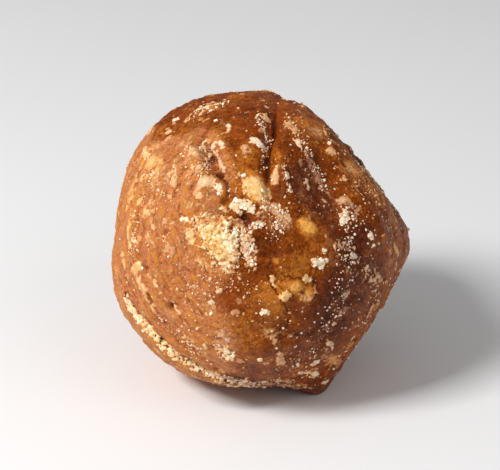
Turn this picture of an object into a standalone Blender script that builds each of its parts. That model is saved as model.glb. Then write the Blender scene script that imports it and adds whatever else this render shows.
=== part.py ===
"""A hand-pressed lump of jaggery, unrefined cane sugar, as one closed solid.

The lump is a ball that palms and fingers have pressed out of round. It starts as a cube whose faces
are divided and blown up into a ball. Every point of that ball is then moved in or out along its own
direction by four kinds of feature:
    Swell   a broad bulge, or a hollow where its height is negative
    Press   a flat side that a palm or the mould has left
    Fold    a valley where two laps of the warm paste met
    Ledge   a long low bank where the paste slumped over itself
Last, the lump is cut flat underneath, where it cooled on the tray.

Frame: metres, +Z up, +X to the right, -Y towards the viewer. The origin is on the floor, under the
middle of the lump. The showing side faces the front and is tipped back by VIEW_LIFT. Features are
placed on it as that viewer sees them: across to the right and up from the middle.

Run with: blender --background --python part.py
"""

import math
from collections import namedtuple

import bmesh
import bpy
from mathutils import Vector, noise

MM = 0.001
NAME = "jaggery_lump"

# Driving dimensions
WIDTH = 70 * MM  # left to right, over everything
BALL_RADIUS = 35 * MM  # of the ball before it is pressed
BASE_DROP = 32.4 * MM  # from the middle of the ball down to the flat base
EDGE_SOFTNESS = 2.2 * MM  # how gently a pressed flat rounds off into the ball
VIEW_LIFT = math.radians(25)  # how far above the horizon the showing side looks

# How finely the ball is divided
FACES_PER_SIDE = 25  # quads along each edge of the starting cube
CUT_TOLERANCE = 0.02 * MM  # a corner this near the base counts as on it

# Unevenness left by handling
DIMPLE_SIZE = 11 * MM
DIMPLE_HEIGHT = 0.55 * MM

# The showing side's own axes
RIGHT = Vector((1, 0, 0))
TOWARDS = Vector((0, -math.cos(VIEW_LIFT), math.sin(VIEW_LIFT)))
UP = Vector((0, math.sin(VIEW_LIFT), math.cos(VIEW_LIFT)))

# clock: degrees anticlockwise from the right. lean: degrees out of the outline towards the viewer.
Swell = namedtuple("Swell", "clock lean height spread")
Press = namedtuple("Press", "clock lean reach")
# side: FRONT or BACK. route: (across, up) in millimetres, as seen from the front on either side.
Fold = namedtuple("Fold", "side route depth half_width")
Ledge = namedtuple("Ledge", "side route height half_width")
FRONT, BACK = 1, -1
ROUTE_END_FADE = 0.12  # share of a half wave left off at each end, so that no route ends at nothing
LEAST_FACING = 0.2  # a pressed flat acts only where the surface faces it by this much

SWELLS = (
    Swell(118, 0, 1.4 * MM, 30),  # upper left shoulder
    Swell(56, -3, -2.0 * MM, 17),  # slope right of the crown
    Swell(222, 5, 0.3 * MM, 28),  # lower left cheek
    Swell(295, 2, 4.0 * MM, 10),  # toe at the lower right
    Swell(293, -16, 3.4 * MM, 12),  # the toe's edge, running back under the lump
    Swell(359, 0, 1.5 * MM, 12),  # nose on the right
    Swell(172, 0, -3.0 * MM, 18),  # waist on the left
    Swell(266, 0, -2.5 * MM, 15),  # hollow beside the toe
    Swell(150, 62, 1.0 * MM, 22),  # brow left of the middle
    Swell(260, 58, 1.2 * MM, 20),  # belly below the middle
    Swell(95, 52, -1.0 * MM, 13),  # thumb print under the crown
    Swell(25, 55, -1.6 * MM, 16),  # thumb print right of the middle
    Swell(40, -60, 1.4 * MM, 26),  # hunch on the back
    Swell(205, -50, -1.6 * MM, 20),  # palm hollow on the back
    Swell(300, -45, 1.0 * MM, 20),  # heel on the back
)

PRESSES = (
    Press(38, 6, 31.2 * MM),  # long flat at the upper right
    Press(-32, 2, 33.3 * MM),  # straight flat at the lower right
    Press(20, -48, 33.0 * MM),  # palm flat, back right
    Press(150, -55, 33.2 * MM),  # palm flat, back left
)

FOLDS = (
    Fold(FRONT, ((4, 34), (4.5, 27), (3.5, 21), (2.5, 15), (3.5, 9), (7, 6)), 1.7 * MM, 2.0 * MM),
    Fold(FRONT, ((-14, 24), (-10, 20), (-8, 15), (-10, 9)), 0.9 * MM, 2.4 * MM),
    Fold(FRONT, ((2, -8), (5, -13), (8, -16), (5, -20)), 0.7 * MM, 2.0 * MM),
    Fold(FRONT, ((9, -21), (14, -21), (18, -19)), 0.6 * MM, 1.8 * MM),
    Fold(FRONT, ((-24, -13), (-19, -20), (-11, -26), (-2, -31)), 0.9 * MM, 1.8 * MM),
    Fold(BACK, ((-27, 6), (-16, 14), (-3, 13), (9, 6), (18, -4)), 1.3 * MM, 2.2 * MM),
    Fold(BACK, ((14, 26), (18, 18), (17, 9)), 0.9 * MM, 2.0 * MM),
    Fold(BACK, ((-12, -20), (-4, -13), (3, -14)), 0.8 * MM, 2.0 * MM),
)

LEDGES = (
    Ledge(FRONT, ((-29, -16), (-24, -22), (-16, -28), (-6, -32)), 0.8 * MM, 2.0 * MM),
    Ledge(FRONT, ((-27, -8), (-25, -14), (-21, -20)), 0.5 * MM, 1.5 * MM),
    Ledge(BACK, ((-25, 11), (-15, 19), (-2, 18), (9, 12)), 0.7 * MM, 2.4 * MM),
    Ledge(BACK, ((10, -18), (18, -12), (25, -3)), 0.6 * MM, 2.2 * MM),
)

TOFFEE = (0.37, 0.15, 0.045, 1.0)
TOFFEE_ROUGHNESS = 0.42


def clear_scene():
    """Empties the scene."""
    for obj in list(bpy.data.objects):
        bpy.data.objects.remove(obj)


def bearing(clock, lean):
    """The unit direction at a clock angle round the outline, leaned towards the viewer."""
    turn, tip = math.radians(clock), math.radians(lean)
    rim = RIGHT * math.cos(turn) + UP * math.sin(turn)
    return rim * math.cos(tip) + TOWARDS * math.sin(tip)


def seen_at(side, across, up):
    """The point of the unpressed ball at (across, up) millimetres from its middle, on one side."""
    flat = RIGHT * across * MM + UP * up * MM
    depth = side * math.sqrt(max(BALL_RADIUS**2 - flat.length_squared, 0))
    return (flat + TOWARDS * depth).normalized() * BALL_RADIUS


def bell(distance, reach):
    """1 at no distance, falling smoothly to nothing past the reach."""
    return math.exp(-((distance / reach) ** 2))


def swell_height(direction, swell):
    """How much a swell raises the ball in a direction."""
    angle = math.degrees(direction.angle(bearing(swell.clock, swell.lean)))
    return swell.height * bell(angle, swell.spread)


def press_reach(direction, press):
    """How far the pressed plane lies along a direction, or None where they part."""
    facing = direction.dot(bearing(press.clock, press.lean))
    return press.reach / facing if facing > LEAST_FACING else None


def soft_least(a, b):
    """The smaller of two lengths, rounded off where they differ by less than EDGE_SOFTNESS."""
    closeness = max(EDGE_SOFTNESS - abs(a - b), 0) / EDGE_SOFTNESS
    return min(a, b) - closeness**2 * EDGE_SOFTNESS / 4


def route_distance(point, side, route):
    """(distance from a point to a route laid on the ball, share of the route's length there)."""
    stops = [seen_at(side, *stop) for stop in route]
    lengths = [(b - a).length for a, b in zip(stops, stops[1:])]
    best, travelled = (math.inf, 0.0), 0.0
    for start, end, length in zip(stops, stops[1:], lengths):
        share = max(0.0, min(1.0, (point - start).dot(end - start) / length**2))
        away = (point - start.lerp(end, share)).length
        best = min(best, (away, (travelled + share * length) / sum(lengths)))
        travelled += length
    return best


def route_strength(point, feature):
    """How strongly a fold or a ledge acts at a point of the ball: it fades out at both ends."""
    away, share = route_distance(point, feature.side, feature.route)
    along = ROUTE_END_FADE + (1 - 2 * ROUTE_END_FADE) * share
    return bell(away, feature.half_width) * math.sin(math.pi * along)


def lump_radius(direction):
    """The distance from the middle of the lump to its surface in a direction."""
    radius = BALL_RADIUS + sum(swell_height(direction, swell) for swell in SWELLS)
    for press in PRESSES:
        reach = press_reach(direction, press)
        if reach is not None:
            radius = soft_least(radius, reach)
    on_ball = direction * BALL_RADIUS
    radius -= sum(fold.depth * route_strength(on_ball, fold) for fold in FOLDS)
    radius += sum(ledge.height * route_strength(on_ball, ledge) for ledge in LEDGES)
    return radius + DIMPLE_HEIGHT * noise.noise(on_ball / DIMPLE_SIZE)


def ball_direction(corner):
    """The direction of a point on the starting cube, spaced so that the quads come out even."""
    return Vector([math.tan(side * math.pi / 4) for side in corner]).normalized()


def pressed_ball(mesh):
    """Fills the mesh with the lump. The middle of the ball it was pressed from is at the origin."""
    form = bmesh.new()
    bmesh.ops.create_cube(form, size=2)
    bmesh.ops.subdivide_edges(
        form, edges=form.edges[:], cuts=FACES_PER_SIDE - 1, use_grid_fill=True
    )
    for vert in form.verts:
        direction = ball_direction(vert.co)
        vert.co = direction * lump_radius(direction)
    cut_base(form)
    bmesh.ops.recalc_face_normals(form, faces=form.faces[:])
    form.to_mesh(mesh)
    form.free()


def cut_base(form):
    """Cuts the lump flat at the base and closes it with one face."""
    cut = bmesh.ops.bisect_plane(
        form,
        geom=form.verts[:] + form.edges[:] + form.faces[:],
        dist=CUT_TOLERANCE,
        plane_co=(0, 0, -BASE_DROP),
        plane_no=(0, 0, -1),
        clear_outer=True,
    )
    rim = [item for item in cut["geom_cut"] if isinstance(item, bmesh.types.BMEdge)]
    bmesh.ops.contextual_create(form, geom=rim)
    for face in form.faces:
        face.smooth = True
    for edge in rim:
        edge.smooth = False


def stand_on_floor(mesh):
    """Brings the lump to its width, and puts its base on the floor with its middle over the origin."""
    across = [vert.co.x for vert in mesh.vertices]
    scale = WIDTH / (max(across) - min(across))
    for vert in mesh.vertices:
        vert.co *= scale
    lows = [min(vert.co[axis] for vert in mesh.vertices) for axis in range(3)]
    highs = [max(vert.co[axis] for vert in mesh.vertices) for axis in range(3)]
    middle = [(low + high) / 2 for low, high in zip(lows, highs)]
    shift = Vector((middle[0], middle[1], lows[2]))
    for vert in mesh.vertices:
        vert.co -= shift


def toffee():
    """The material of the lump: waxy caramel-brown sugar."""
    material = bpy.data.materials.new("toffee_sugar")
    material.use_nodes = True
    shader = material.node_tree.nodes["Principled BSDF"]
    shader.inputs["Base Color"].default_value = TOFFEE
    shader.inputs["Roughness"].default_value = TOFFEE_ROUGHNESS
    shader.inputs["Metallic"].default_value = 0.0
    material.diffuse_color = TOFFEE
    return material


def build():
    """Makes the lump in a collection of its own."""
    clear_scene()
    collection = bpy.data.collections.new(NAME)
    bpy.context.scene.collection.children.link(collection)
    mesh = bpy.data.meshes.new(NAME)
    pressed_ball(mesh)
    stand_on_floor(mesh)
    mesh.materials.append(toffee())
    lump = bpy.data.objects.new(NAME, mesh)
    collection.objects.link(lump)


build()
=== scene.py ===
"""The looks of a hand-pressed lump of jaggery, unrefined cane sugar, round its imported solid.

The lump is waxy toffee: milky caramel on its left, dark treacle on its right, creased where laps of the
warm paste met. Cream sugar has crusted in its folds and along its lower rim, and loose crumbs and
crystals cling all over it.

Places on the lump are written as (across, up) in millimetres. They lie in the plane through the lump's
middle that faces one Side, and an eye at EYE_DISTANCE carries them onto the surface.
"""

from __future__ import annotations

import logging
import math
from dataclasses import dataclass, field
from enum import Enum
from typing import Iterable

import bpy
import numpy as np
from mathutils import Matrix, Vector, noise
from mathutils.bvhtree import BVHTree

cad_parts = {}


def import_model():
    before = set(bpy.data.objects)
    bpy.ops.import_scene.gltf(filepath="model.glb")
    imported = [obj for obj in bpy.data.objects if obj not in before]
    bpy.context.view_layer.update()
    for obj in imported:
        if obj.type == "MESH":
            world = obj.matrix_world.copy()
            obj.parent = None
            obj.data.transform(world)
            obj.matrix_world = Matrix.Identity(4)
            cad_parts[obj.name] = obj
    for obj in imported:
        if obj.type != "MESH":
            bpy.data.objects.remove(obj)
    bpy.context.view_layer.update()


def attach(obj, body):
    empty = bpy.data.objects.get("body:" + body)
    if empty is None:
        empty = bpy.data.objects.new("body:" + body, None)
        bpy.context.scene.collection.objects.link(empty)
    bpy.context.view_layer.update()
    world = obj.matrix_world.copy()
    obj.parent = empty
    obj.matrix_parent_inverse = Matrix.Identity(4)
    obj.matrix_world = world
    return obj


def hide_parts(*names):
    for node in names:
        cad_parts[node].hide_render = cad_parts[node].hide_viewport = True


LOG = logging.getLogger("jaggery")
MM = 0.001
NODE = "jaggery_lump"
BODY = "root"
MIDDLE_HEIGHT = 32.5 * MM
EYE_DISTANCE = 400 * MM
FLOOR_GAP = 0.15 * MM

Colour = tuple[float, float, float, float]
Place = tuple[float, float]
Route = tuple[Place, ...]


def srgb(red: int, green: int, blue: int) -> Colour:
    """Turns a colour in screen values from 0 to 255 into a linear one.

    Args:
        red, green, blue: the screen values.

    Returns:
        The colour with an alpha of 1.
    """
    def linear(value: int) -> float:
        """One channel, from 0 to 255, as linear light."""
        share = value / 255
        return share / 12.92 if share <= 0.04045 else ((share + 0.055) / 1.055) ** 2.4

    return (linear(red), linear(green), linear(blue), 1.0)


# ---------------------------------------------------------------------------------------------------
# Where things are on the lump
# ---------------------------------------------------------------------------------------------------


@dataclass(frozen=True)
class Outlook:
    """An eye that looks at the lump's middle from one side.

    Attributes:
        azimuth: degrees round the lump: 0 looks along +Y and 90 along -X.
        lift: degrees above the horizon.
    """

    azimuth: float
    lift: float

    @property
    def towards(self) -> Vector:
        """The unit direction from the middle to the eye."""
        turn, lift = math.radians(self.azimuth), math.radians(self.lift)
        flat = Vector((math.sin(turn), -math.cos(turn), 0))
        return flat * math.cos(lift) + Vector((0, 0, math.sin(lift)))

    @property
    def right(self) -> Vector:
        """The unit direction to the eye's right."""
        turn = math.radians(self.azimuth)
        return Vector((math.cos(turn), math.sin(turn), 0))

    @property
    def up(self) -> Vector:
        """The unit direction up in the eye's view."""
        return self.towards.cross(self.right)

    @property
    def middle(self) -> Vector:
        """The point looked at."""
        return Vector((0, 0, MIDDLE_HEIGHT))

    @property
    def eye(self) -> Vector:
        """Where the eye is."""
        return self.middle + self.towards * EYE_DISTANCE

    def land(self, tree: BVHTree, place: Place) -> Vector:
        """Carries a place onto the lump.

        Args:
            tree: the surface to land on.
            place: (across, up) in millimetres. One past the outline is drawn in until it lands.

        Returns:
            The point of the surface.
        """
        offset = (self.right * place[0] + self.up * place[1]) * MM
        point = None
        while point is None:
            point = tree.ray_cast(self.eye, (self.middle + offset - self.eye).normalized())[0]
            offset *= 0.985
        return point

    def places(self, points: np.ndarray) -> tuple[np.ndarray, np.ndarray, np.ndarray]:
        """Finds where points appear to be.

        Args:
            points: positions in metres, one row each.

        Returns:
            Arrays of across and up in millimetres, and of depth towards the eye in metres.
        """
        local = points - np.array(self.middle)
        depth = local @ np.array(self.towards)
        spread = EYE_DISTANCE / (EYE_DISTANCE - depth) / MM
        return local @ np.array(self.right) * spread, local @ np.array(self.up) * spread, depth


class Side(Enum):
    """The sides of the lump that places are given on."""

    FRONT = Outlook(0, 25)
    RIGHT = Outlook(90, 15)
    BACK = Outlook(180, 20)
    LEFT = Outlook(270, 15)
    TOP = Outlook(0, 85)


class Mark(Enum):
    """How a stroke changes the surface it is drawn on."""

    CREASE = "a valley with a soft bank on each side"
    RIDGE = "a long low bank"
    LEDGE = "a step, high on the left of the stroke's direction"
    CRACK = "a hairline split"


@dataclass(frozen=True)
class Stroke:
    """A mark drawn along a route.

    Attributes:
        mark: what it does to the surface.
        route: the places it passes.
        size: how deep or high it is, in millimetres.
        half_width: from its middle to where it is a third as strong, in millimetres.
        side: the side its places are on.
    """

    mark: Mark
    route: Route
    size: float
    half_width: float
    side: Side = Side.FRONT


@dataclass(frozen=True)
class Spot:
    """A round soft-edged area.

    Attributes:
        place: its middle.
        reach: its radius in millimetres.
        amount: how much it adds: millimetres of height, or a share of a tint.
        side: the side its place is on.
    """

    place: Place
    reach: float
    amount: float
    side: Side = Side.FRONT


SEAM = ((-32.2, -12.5), (-31.6, -14.8), (-29.8, -17.6), (-27.6, -20), (-24, -24), (-19.2, -27.6),
        (-13.3, -30.9), (-7.3, -32.8), (-2, -33.6))

STROKES = (
    # the deep crease and the bank on its right
    Stroke(Mark.CREASE, ((3.4, 34), (3.2, 29.5), (2.8, 26), (2.2, 22.5), (1.4, 17.7), (1.6, 12)), 0.75, 1.3),
    Stroke(Mark.CREASE, ((3.5, 33.5), (3.0, 29), (2.8, 26), (2.2, 22.5), (1.4, 17.5), (1.2, 14)), 0.5, 0.32),
    Stroke(Mark.CREASE, ((3.2, 27.6), (3.1, 26), (2.8, 24)), 0.6, 0.45),
    Stroke(Mark.RIDGE, ((-3, 27), (-3.6, 21), (-3.0, 14)), 1.0, 3.0),
    Stroke(Mark.RIDGE, ((4.4, 24.5), (4.2, 20), (5.2, 15), (7.4, 9)), 0.8, 1.2),
    # the hollow and the curl on the left of it
    Stroke(Mark.CREASE, ((-14, 26), (-12, 20.5), (-9.5, 15)), 1.3, 1.9),
    Stroke(Mark.RIDGE, ((-17.5, 24), (-16.5, 19), (-14, 14)), 0.5, 2.0),
    Stroke(Mark.CREASE, ((-12, 16.6), (-9.6, 15.2), (-8.2, 13), (-8.4, 10.6), (-9.8, 8.6)), 0.45, 0.5),
    Stroke(Mark.LEDGE, ((-11.5, 7.5), (-9.0, 10), (-8.4, 12.5), (-9.8, 15.2), (-13, 16.8)), 0.6, 0.5),
    # the lip on the upper right
    Stroke(Mark.LEDGE, ((20.5, 17), (18, 20.5), (16.3, 23.5), (15.6, 26), (14.2, 29)), 1.3, 0.4),
    # the overlap along the lower left
    Stroke(Mark.LEDGE, SEAM[::-1], 0.9, 0.6),
    Stroke(Mark.CREASE, SEAM, 0.5, 0.7),
    Stroke(Mark.CREASE, ((-26, -23.6), (-20.4, -28.4), (-13.6, -32), (-7, -34), (0, -34.8)), 0.5, 0.45),
    Stroke(Mark.RIDGE, ((-29, -9), (-28, -11.5), (-27, -14.5), (-25, -17), (-23.5, -19)), 0.45, 0.55),
    Stroke(Mark.CREASE, ((-27.8, -9.5), (-27, -12), (-26, -14.5), (-24, -16.8)), 0.35, 0.7),
    Stroke(Mark.RIDGE, ((-24.5, -11.5), (-23, -13.5), (-21.5, -15)), 0.3, 0.4),
    # long laps that follow the left outline
    Stroke(Mark.LEDGE, ((-24, 26.5), (-27, 21.5), (-30, 16.5), (-32, 11), (-33.5, 6), (-33, 1.5)), 0.4, 0.5),
    Stroke(Mark.RIDGE, ((-31, 0.5), (-31, 6), (-29.5, 12), (-27.5, 17.5), (-24.5, 21.5)), 0.35, 0.6),
    Stroke(Mark.CREASE, ((-29.5, 1), (-29.6, 6), (-28, 12), (-26, 17)), 0.35, 0.8),
    Stroke(Mark.RIDGE, ((-22, 3), (-24, 8), (-23.5, 14), (-21, 20)), 0.35, 1.1),
    Stroke(Mark.CREASE, ((-19, 4), (-20.5, 9), (-19.5, 15), (-17, 20)), 0.35, 1.1),
    Stroke(Mark.RIDGE, ((-15.5, 30.5), (-13, 32), (-11, 33)), 0.45, 0.8),
    Stroke(Mark.CREASE, ((-15, 28.6), (-12, 30.2), (-9.5, 31.4)), 0.3, 0.6),
    # soft folds of the dark side
    Stroke(Mark.CREASE, ((7, -15), (5, -20), (3.5, -23.5)), 0.3, 1.0),
    Stroke(Mark.CREASE, ((17, 5), (22, 0), (29, -6)), 1.0, 1.8),
    Stroke(Mark.RIDGE, ((20, 14), (25, 8), (30, 0)), 1.0, 1.8),
    Stroke(Mark.LEDGE, ((1, -33), (7, -34), (14, -35)), 0.5, 0.5),
    Stroke(Mark.RIDGE, ((-12, -33.4), (-4, -35.2), (2, -35.5), (8, -37)), 0.5, 0.6),
    Stroke(Mark.CREASE, ((10, -7), (13, -10), (13.5, -14), (10, -16)), 0.35, 0.6),
    # folds of the right side
    Stroke(Mark.CREASE, ((6, 27), (10, 19), (15, 11), (17, 1), (13, -8)), 1.1, 1.5, Side.RIGHT),
    Stroke(Mark.RIDGE, ((11, 26), (15, 18), (20, 10), (22, 0)), 0.8, 2.2, Side.RIGHT),
    Stroke(Mark.CREASE, ((20, -26), (23, -16), (27, -6), (28.5, 6)), 0.8, 1.2, Side.RIGHT),
    Stroke(Mark.LEDGE, ((27, 12), (22, 17), (17, 20)), 0.8, 0.5, Side.RIGHT),
    Stroke(Mark.LEDGE, ((3, -14), (8, -20), (15, -22), (21, -27)), 0.8, 0.6, Side.RIGHT),
    # folds of the back
    Stroke(Mark.CREASE, ((-6, 30), (-4, 20), (-7, 11), (-4, 1), (3, -7)), 1.2, 1.4, Side.BACK),
    Stroke(Mark.CREASE, ((-5.6, 29), (-4.2, 20), (-7, 11.4)), 0.5, 0.4, Side.BACK),
    Stroke(Mark.RIDGE, ((-1, 28), (1, 19), (-1, 9), (4, 1)), 1.0, 2.2, Side.BACK),
    Stroke(Mark.LEDGE, ((29, -6), (22, -15), (14, -17), (6, -24), (-4, -25)), 0.9, 0.6, Side.BACK),
    Stroke(Mark.CREASE, ((28, -4), (21, -13), (13, -15.6), (5, -22)), 0.5, 0.8, Side.BACK),
    Stroke(Mark.CREASE, ((12, 18), (17, 8), (16, -2), (21, -9)), 0.8, 1.3, Side.BACK),
    Stroke(Mark.CREASE, ((-26, 12), (-20, 2), (-19, -9)), 0.8, 1.4, Side.BACK),
    Stroke(Mark.LEDGE, ((-10, -16), (-15, -22), (-22, -22)), 0.7, 0.5, Side.BACK),
    # folds of the left side
    Stroke(Mark.LEDGE, ((-2, -6), (-9, -3), (-15, -6), (-21, -13), (-27, -14)), 0.9, 0.6, Side.LEFT),
    Stroke(Mark.CREASE, ((-2, -4.4), (-9, -1.4), (-15, -4.2), (-20, -11)), 0.5, 0.8, Side.LEFT),
    Stroke(Mark.CREASE, ((-12, 26), (-8, 17), (-10, 8), (-6, 2)), 0.9, 1.4, Side.LEFT),
    Stroke(Mark.RIDGE, ((-20, 22), (-16, 14), (-17, 5), (-24, -2)), 0.8, 2.0, Side.LEFT),
    Stroke(Mark.CREASE, ((-4, -14), (-10, -19), (-12, -26)), 0.7, 1.2, Side.LEFT),
    # the crease goes on behind the top
    Stroke(Mark.CREASE, ((0, 19), (-3, 24), (-5, 29)), 0.9, 1.2, Side.TOP),
    Stroke(Mark.CREASE, ((16, 14), (13, 20), (15, 26)), 0.8, 1.4, Side.TOP),
)

GOLD_LINES = (
    Stroke(Mark.RIDGE, ((-22, 28), (-25.5, 23.8), (-28.4, 19), (-31, 13), (-32.8, 7), (-33.2, 3)), 1.1, 0.55),
    Stroke(Mark.RIDGE, ((-26.5, 19), (-29, 13), (-30.4, 7), (-30.8, 2)), 0.9, 0.4),
    Stroke(Mark.RIDGE, ((-32.8, -1), (-33.4, -5), (-32.8, -9)), 0.7, 0.4),
    Stroke(Mark.RIDGE, ((-29, -9), (-28, -11.5), (-27, -14.5), (-25, -17), (-23.5, -19)), 0.9, 0.35),
    Stroke(Mark.RIDGE, ((-24.5, -11.5), (-23, -13.5), (-21.5, -15)), 0.8, 0.3),
    Stroke(Mark.RIDGE, ((-16.6, -7.6), (-16.2, -9.6)), 0.8, 0.4),
    Stroke(Mark.RIDGE, ((-17.8, 14.5), (-18.4, 10), (-17.6, 7)), 0.6, 0.3),
    Stroke(Mark.RIDGE, ((-20, 16), (-21.5, 11), (-21.8, 6)), 0.5, 0.3),
    Stroke(Mark.RIDGE, ((20.3, 17.4), (18, 20.5), (16.4, 23.2), (15.8, 25.8)), 0.8, 0.35),
    Stroke(Mark.RIDGE, ((3, -32.4), (7, -33.2), (11, -34.4), (14.5, -34.8)), 1.0, 0.4),
    Stroke(Mark.RIDGE, ((12.5, -30.6), (15, -29.6), (17.5, -27.4)), 0.9, 0.5),
    Stroke(Mark.RIDGE, ((31, 4), (32, 0.5), (31.6, -3)), 0.9, 0.4),
)

CRACKS = (
    Stroke(Mark.CRACK, ((1.4, -8), (1.6, -8.8), (2.3, -9.8), (2.3, -10.7), (3.2, -11.5), (3.3, -12.4),
                        (4.4, -13), (4.6, -14.2), (5.6, -15.2), (6, -16.4), (7, -17)), 0.5, 0.3),
    Stroke(Mark.CRACK, ((4.7, -7.5), (5.6, -8.4), (6.5, -8.2), (7.4, -9), (8.6, -8.6), (9.6, -9),
                        (10.6, -8.5), (11.4, -9.2)), 0.3, 0.25),
    Stroke(Mark.CRACK, ((6.8, -18), (6.2, -19), (6.2, -20), (5, -21), (4.8, -22), (4, -22.5)), 0.15, 0.2),
    Stroke(Mark.CRACK, ((3.8, -23.8), (5.4, -22.6), (7.1, -22.6), (8.4, -22.2), (10.1, -22.7), (10.6, -21.9),
                        (13.3, -21.2)), 0.3, 0.25),
    Stroke(Mark.CRACK, ((2.4, 0.6), (1.9, -0.4), (2.2, -1.4)), 0.2, 0.2),
    Stroke(Mark.CRACK, ((-0.8, 2.4), (0.6, 1.7), (2, 2.3), (3.6, 1.6)), 0.2, 0.2),
    Stroke(Mark.CRACK, ((4.4, 1), (3.9, 0), (4.4, -1)), 0.15, 0.2),
)


DENTS = (
    Spot((14, 14), 6.0, -2.0),  # dark hollow right of the crease
    Spot((10, 14.5), 11.0, -1.8, Side.RIGHT),  # flatter shoulder
    Spot((-8.5, -13.5), 5.5, -1.0),  # hollow below the crumbs
    Spot((-20, 29.2), 2.6, -0.8),  # glossy hollow on the upper left
    Spot((14.5, -23.5), 0.8, -0.8),  # pin hole
    Spot((-21.5, -15.3), 1.1, -0.6),
    Spot((-11.5, 31.5), 0.7, -0.7),
    Spot((-4, 6), 2.0, -1.3),  # pit among the crumbs
    Spot((-0.7, 12.4), 2.5, 1.1),  # nodules
    Spot((11.9, 3.2), 1.9, 0.6),
    Spot((9.6, 4.6), 2.0, 0.5),
    Spot((3.4, -4.5), 1.2, 0.3),
    Spot((5.2, -13), 1.8, 0.8),
    Spot((11, -13), 2.4, 0.7),
    Spot((7.5, -9.5), 2.0, 0.4),
    Spot((8.2, -10.8), 1.4, 0.6),
    Spot((6.3, -11.6), 0.8, -0.4),
    Spot((9.5, -11.9), 0.7, -0.5),
    Spot((-11, -1), 6.0, 0.6),  # the crumbs' bed
    Spot((-1, -27), 6.0, 0.4),
    Spot((-17, 7), 6.0, 1.0),
    Spot((4, -12), 6.0, 0.6),
)


# dark treacle toffee, and at the end painted shade along the underside of the lower rim
DARKS_AND_UNDER_SHADE = (
    Spot((11.5, 13.5), 6.0, 1.0),
    Spot((12.5, 20.5), 4.0, 0.35),
    Spot((15, 8), 4.0, 0.45),
    Spot((24, 2), 5.0, 0.55),
    Spot((22, -7), 7.5, 1.05),
    Spot((16.5, -17), 6.5, 0.95),
    Spot((22, -16), 6.0, 0.3),
    Spot((10, -26), 5.5, 0.5),
    Spot((18, -25), 5.0, 0.4),
    Spot((16, 2), 4.0, 0.3),
    Spot((-1, 3.4), 2.6, 0.4),
    Spot((-4.2, 5), 2.0, 0.8),
    Spot((3, 0.6), 2.8, 0.4),
    Spot((-8.8, -13.5), 4.0, 0.25),
    Spot((30, 4), 4.0, 0.45),
    Spot((29, -6), 4.5, 0.4),
    Spot((6.5, 16), 3.0, 0.3),
    Spot((18, 20), 5.0, -0.3),
    # painted shade: a dark band along the underside of the front's lower rim
    Spot((-7, -33.4), 2.2, 0.8),
    Spot((-2, -34.4), 2.2, 0.9),
    Spot((3, -34.6), 2.5, 0.7),
    Spot((8, -35), 2.0, 0.8),
)


def trace(tree: BVHTree, route: Route, side: Side, step: float = 0.4) -> np.ndarray:
    """Lays a route on the surface as an even chain of points.

    Args:
        tree: the surface.
        route: the places to pass, joined by a smooth curve.
        side: the side they are on.
        step: the distance between points, in millimetres.

    Returns:
        The points in metres, one row each.
    """
    stops = np.array(route, dtype=float)
    ends = np.vstack((2 * stops[0] - stops[1], stops, 2 * stops[-1] - stops[-2]))
    chain: list[Vector] = []
    for before, start, end, after in zip(ends, ends[1:], ends[2:], ends[3:]):
        count = max(2, int(np.linalg.norm(end - start) / step))
        for share in np.arange(count) / count:
            place = 0.5 * (2 * start + (end - before) * share
                           + (2 * before - 5 * start + 4 * end - after) * share**2
                           + (3 * start - before - 3 * end + after) * share**3)
            chain.append(side.value.land(tree, tuple(place)))
    return np.array(chain)


def bell(distance: np.ndarray, reach: float) -> np.ndarray:
    """1 at no distance, falling smoothly to a third at the reach and then to nothing."""
    return np.exp(-((distance / reach) ** 2))


def rise(values: np.ndarray, low: float, high: float) -> np.ndarray:
    """0 below low and 1 above high, with a smooth rise between them."""
    share = np.clip((values - low) / (high - low), 0, 1)
    return share * share * (3 - 2 * share)


def rumple(points: np.ndarray, size: float, octaves: int = 3, seed: int = 0) -> np.ndarray:
    """Fractal noise at each point.

    Args:
        points: positions in metres, one row each.
        size: the width of its largest features, in millimetres.
        octaves: how many times finer features are added.
        seed: another pattern for each number.

    Returns:
        Values between about -1 and 1.
    """
    shift = Vector((17.3, -9.1, 4.7)) * seed
    scale = 1 / (size * MM)
    return np.array([noise.fractal(Vector(p) * scale + shift, 1.0, 2.0, octaves) for p in points])


def granules(points: np.ndarray, size: float) -> tuple[np.ndarray, np.ndarray]:
    """Rounded grains packed side by side.

    Args:
        points: positions in metres, one row each.
        size: the usual width of a grain, in millimetres.

    Returns:
        For each point: the height of its grain, from 0 between grains to 1 at a grain's top, and a
        number from 0 to 1 that belongs to the whole grain.
    """
    scale = 1 / (size * MM)
    height = np.empty(len(points))
    own = np.empty(len(points))
    for index, point in enumerate(points):
        distances, centres = noise.voronoi(Vector(point) * scale)
        height[index] = distances[0]
        own[index] = math.sin(centres[0].dot((127.1, 311.7, 74.7))) * 43.7 % 1.0
    return np.sqrt(np.clip(1 - (height / 0.62) ** 2, 0, 1)), own


# ---------------------------------------------------------------------------------------------------
# Modelling
# ---------------------------------------------------------------------------------------------------


def only(piece: bpy.types.Object) -> None:
    """Selects one object alone and makes it the active one."""
    bpy.ops.object.select_all(action="DESELECT")
    piece.select_set(True)
    bpy.context.view_layer.objects.active = piece


def settle(piece: bpy.types.Object) -> None:
    """Puts a piece's place, turn and scale into its mesh."""
    only(piece)
    bpy.ops.object.transform_apply(location=True, rotation=True, scale=True)


def finish_modifier(piece: bpy.types.Object, kind: str, **settings: object) -> None:
    """Adds a modifier to a piece and applies it.

    Args:
        piece: the object to change.
        kind: the modifier's type, such as "SMOOTH".
        settings: the modifier's own properties.
    """
    only(piece)
    modifier = piece.modifiers.new(kind.lower(), kind)
    for name, value in settings.items():
        setattr(modifier, name, value)
    bpy.ops.object.modifier_apply(modifier=modifier.name)


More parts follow.
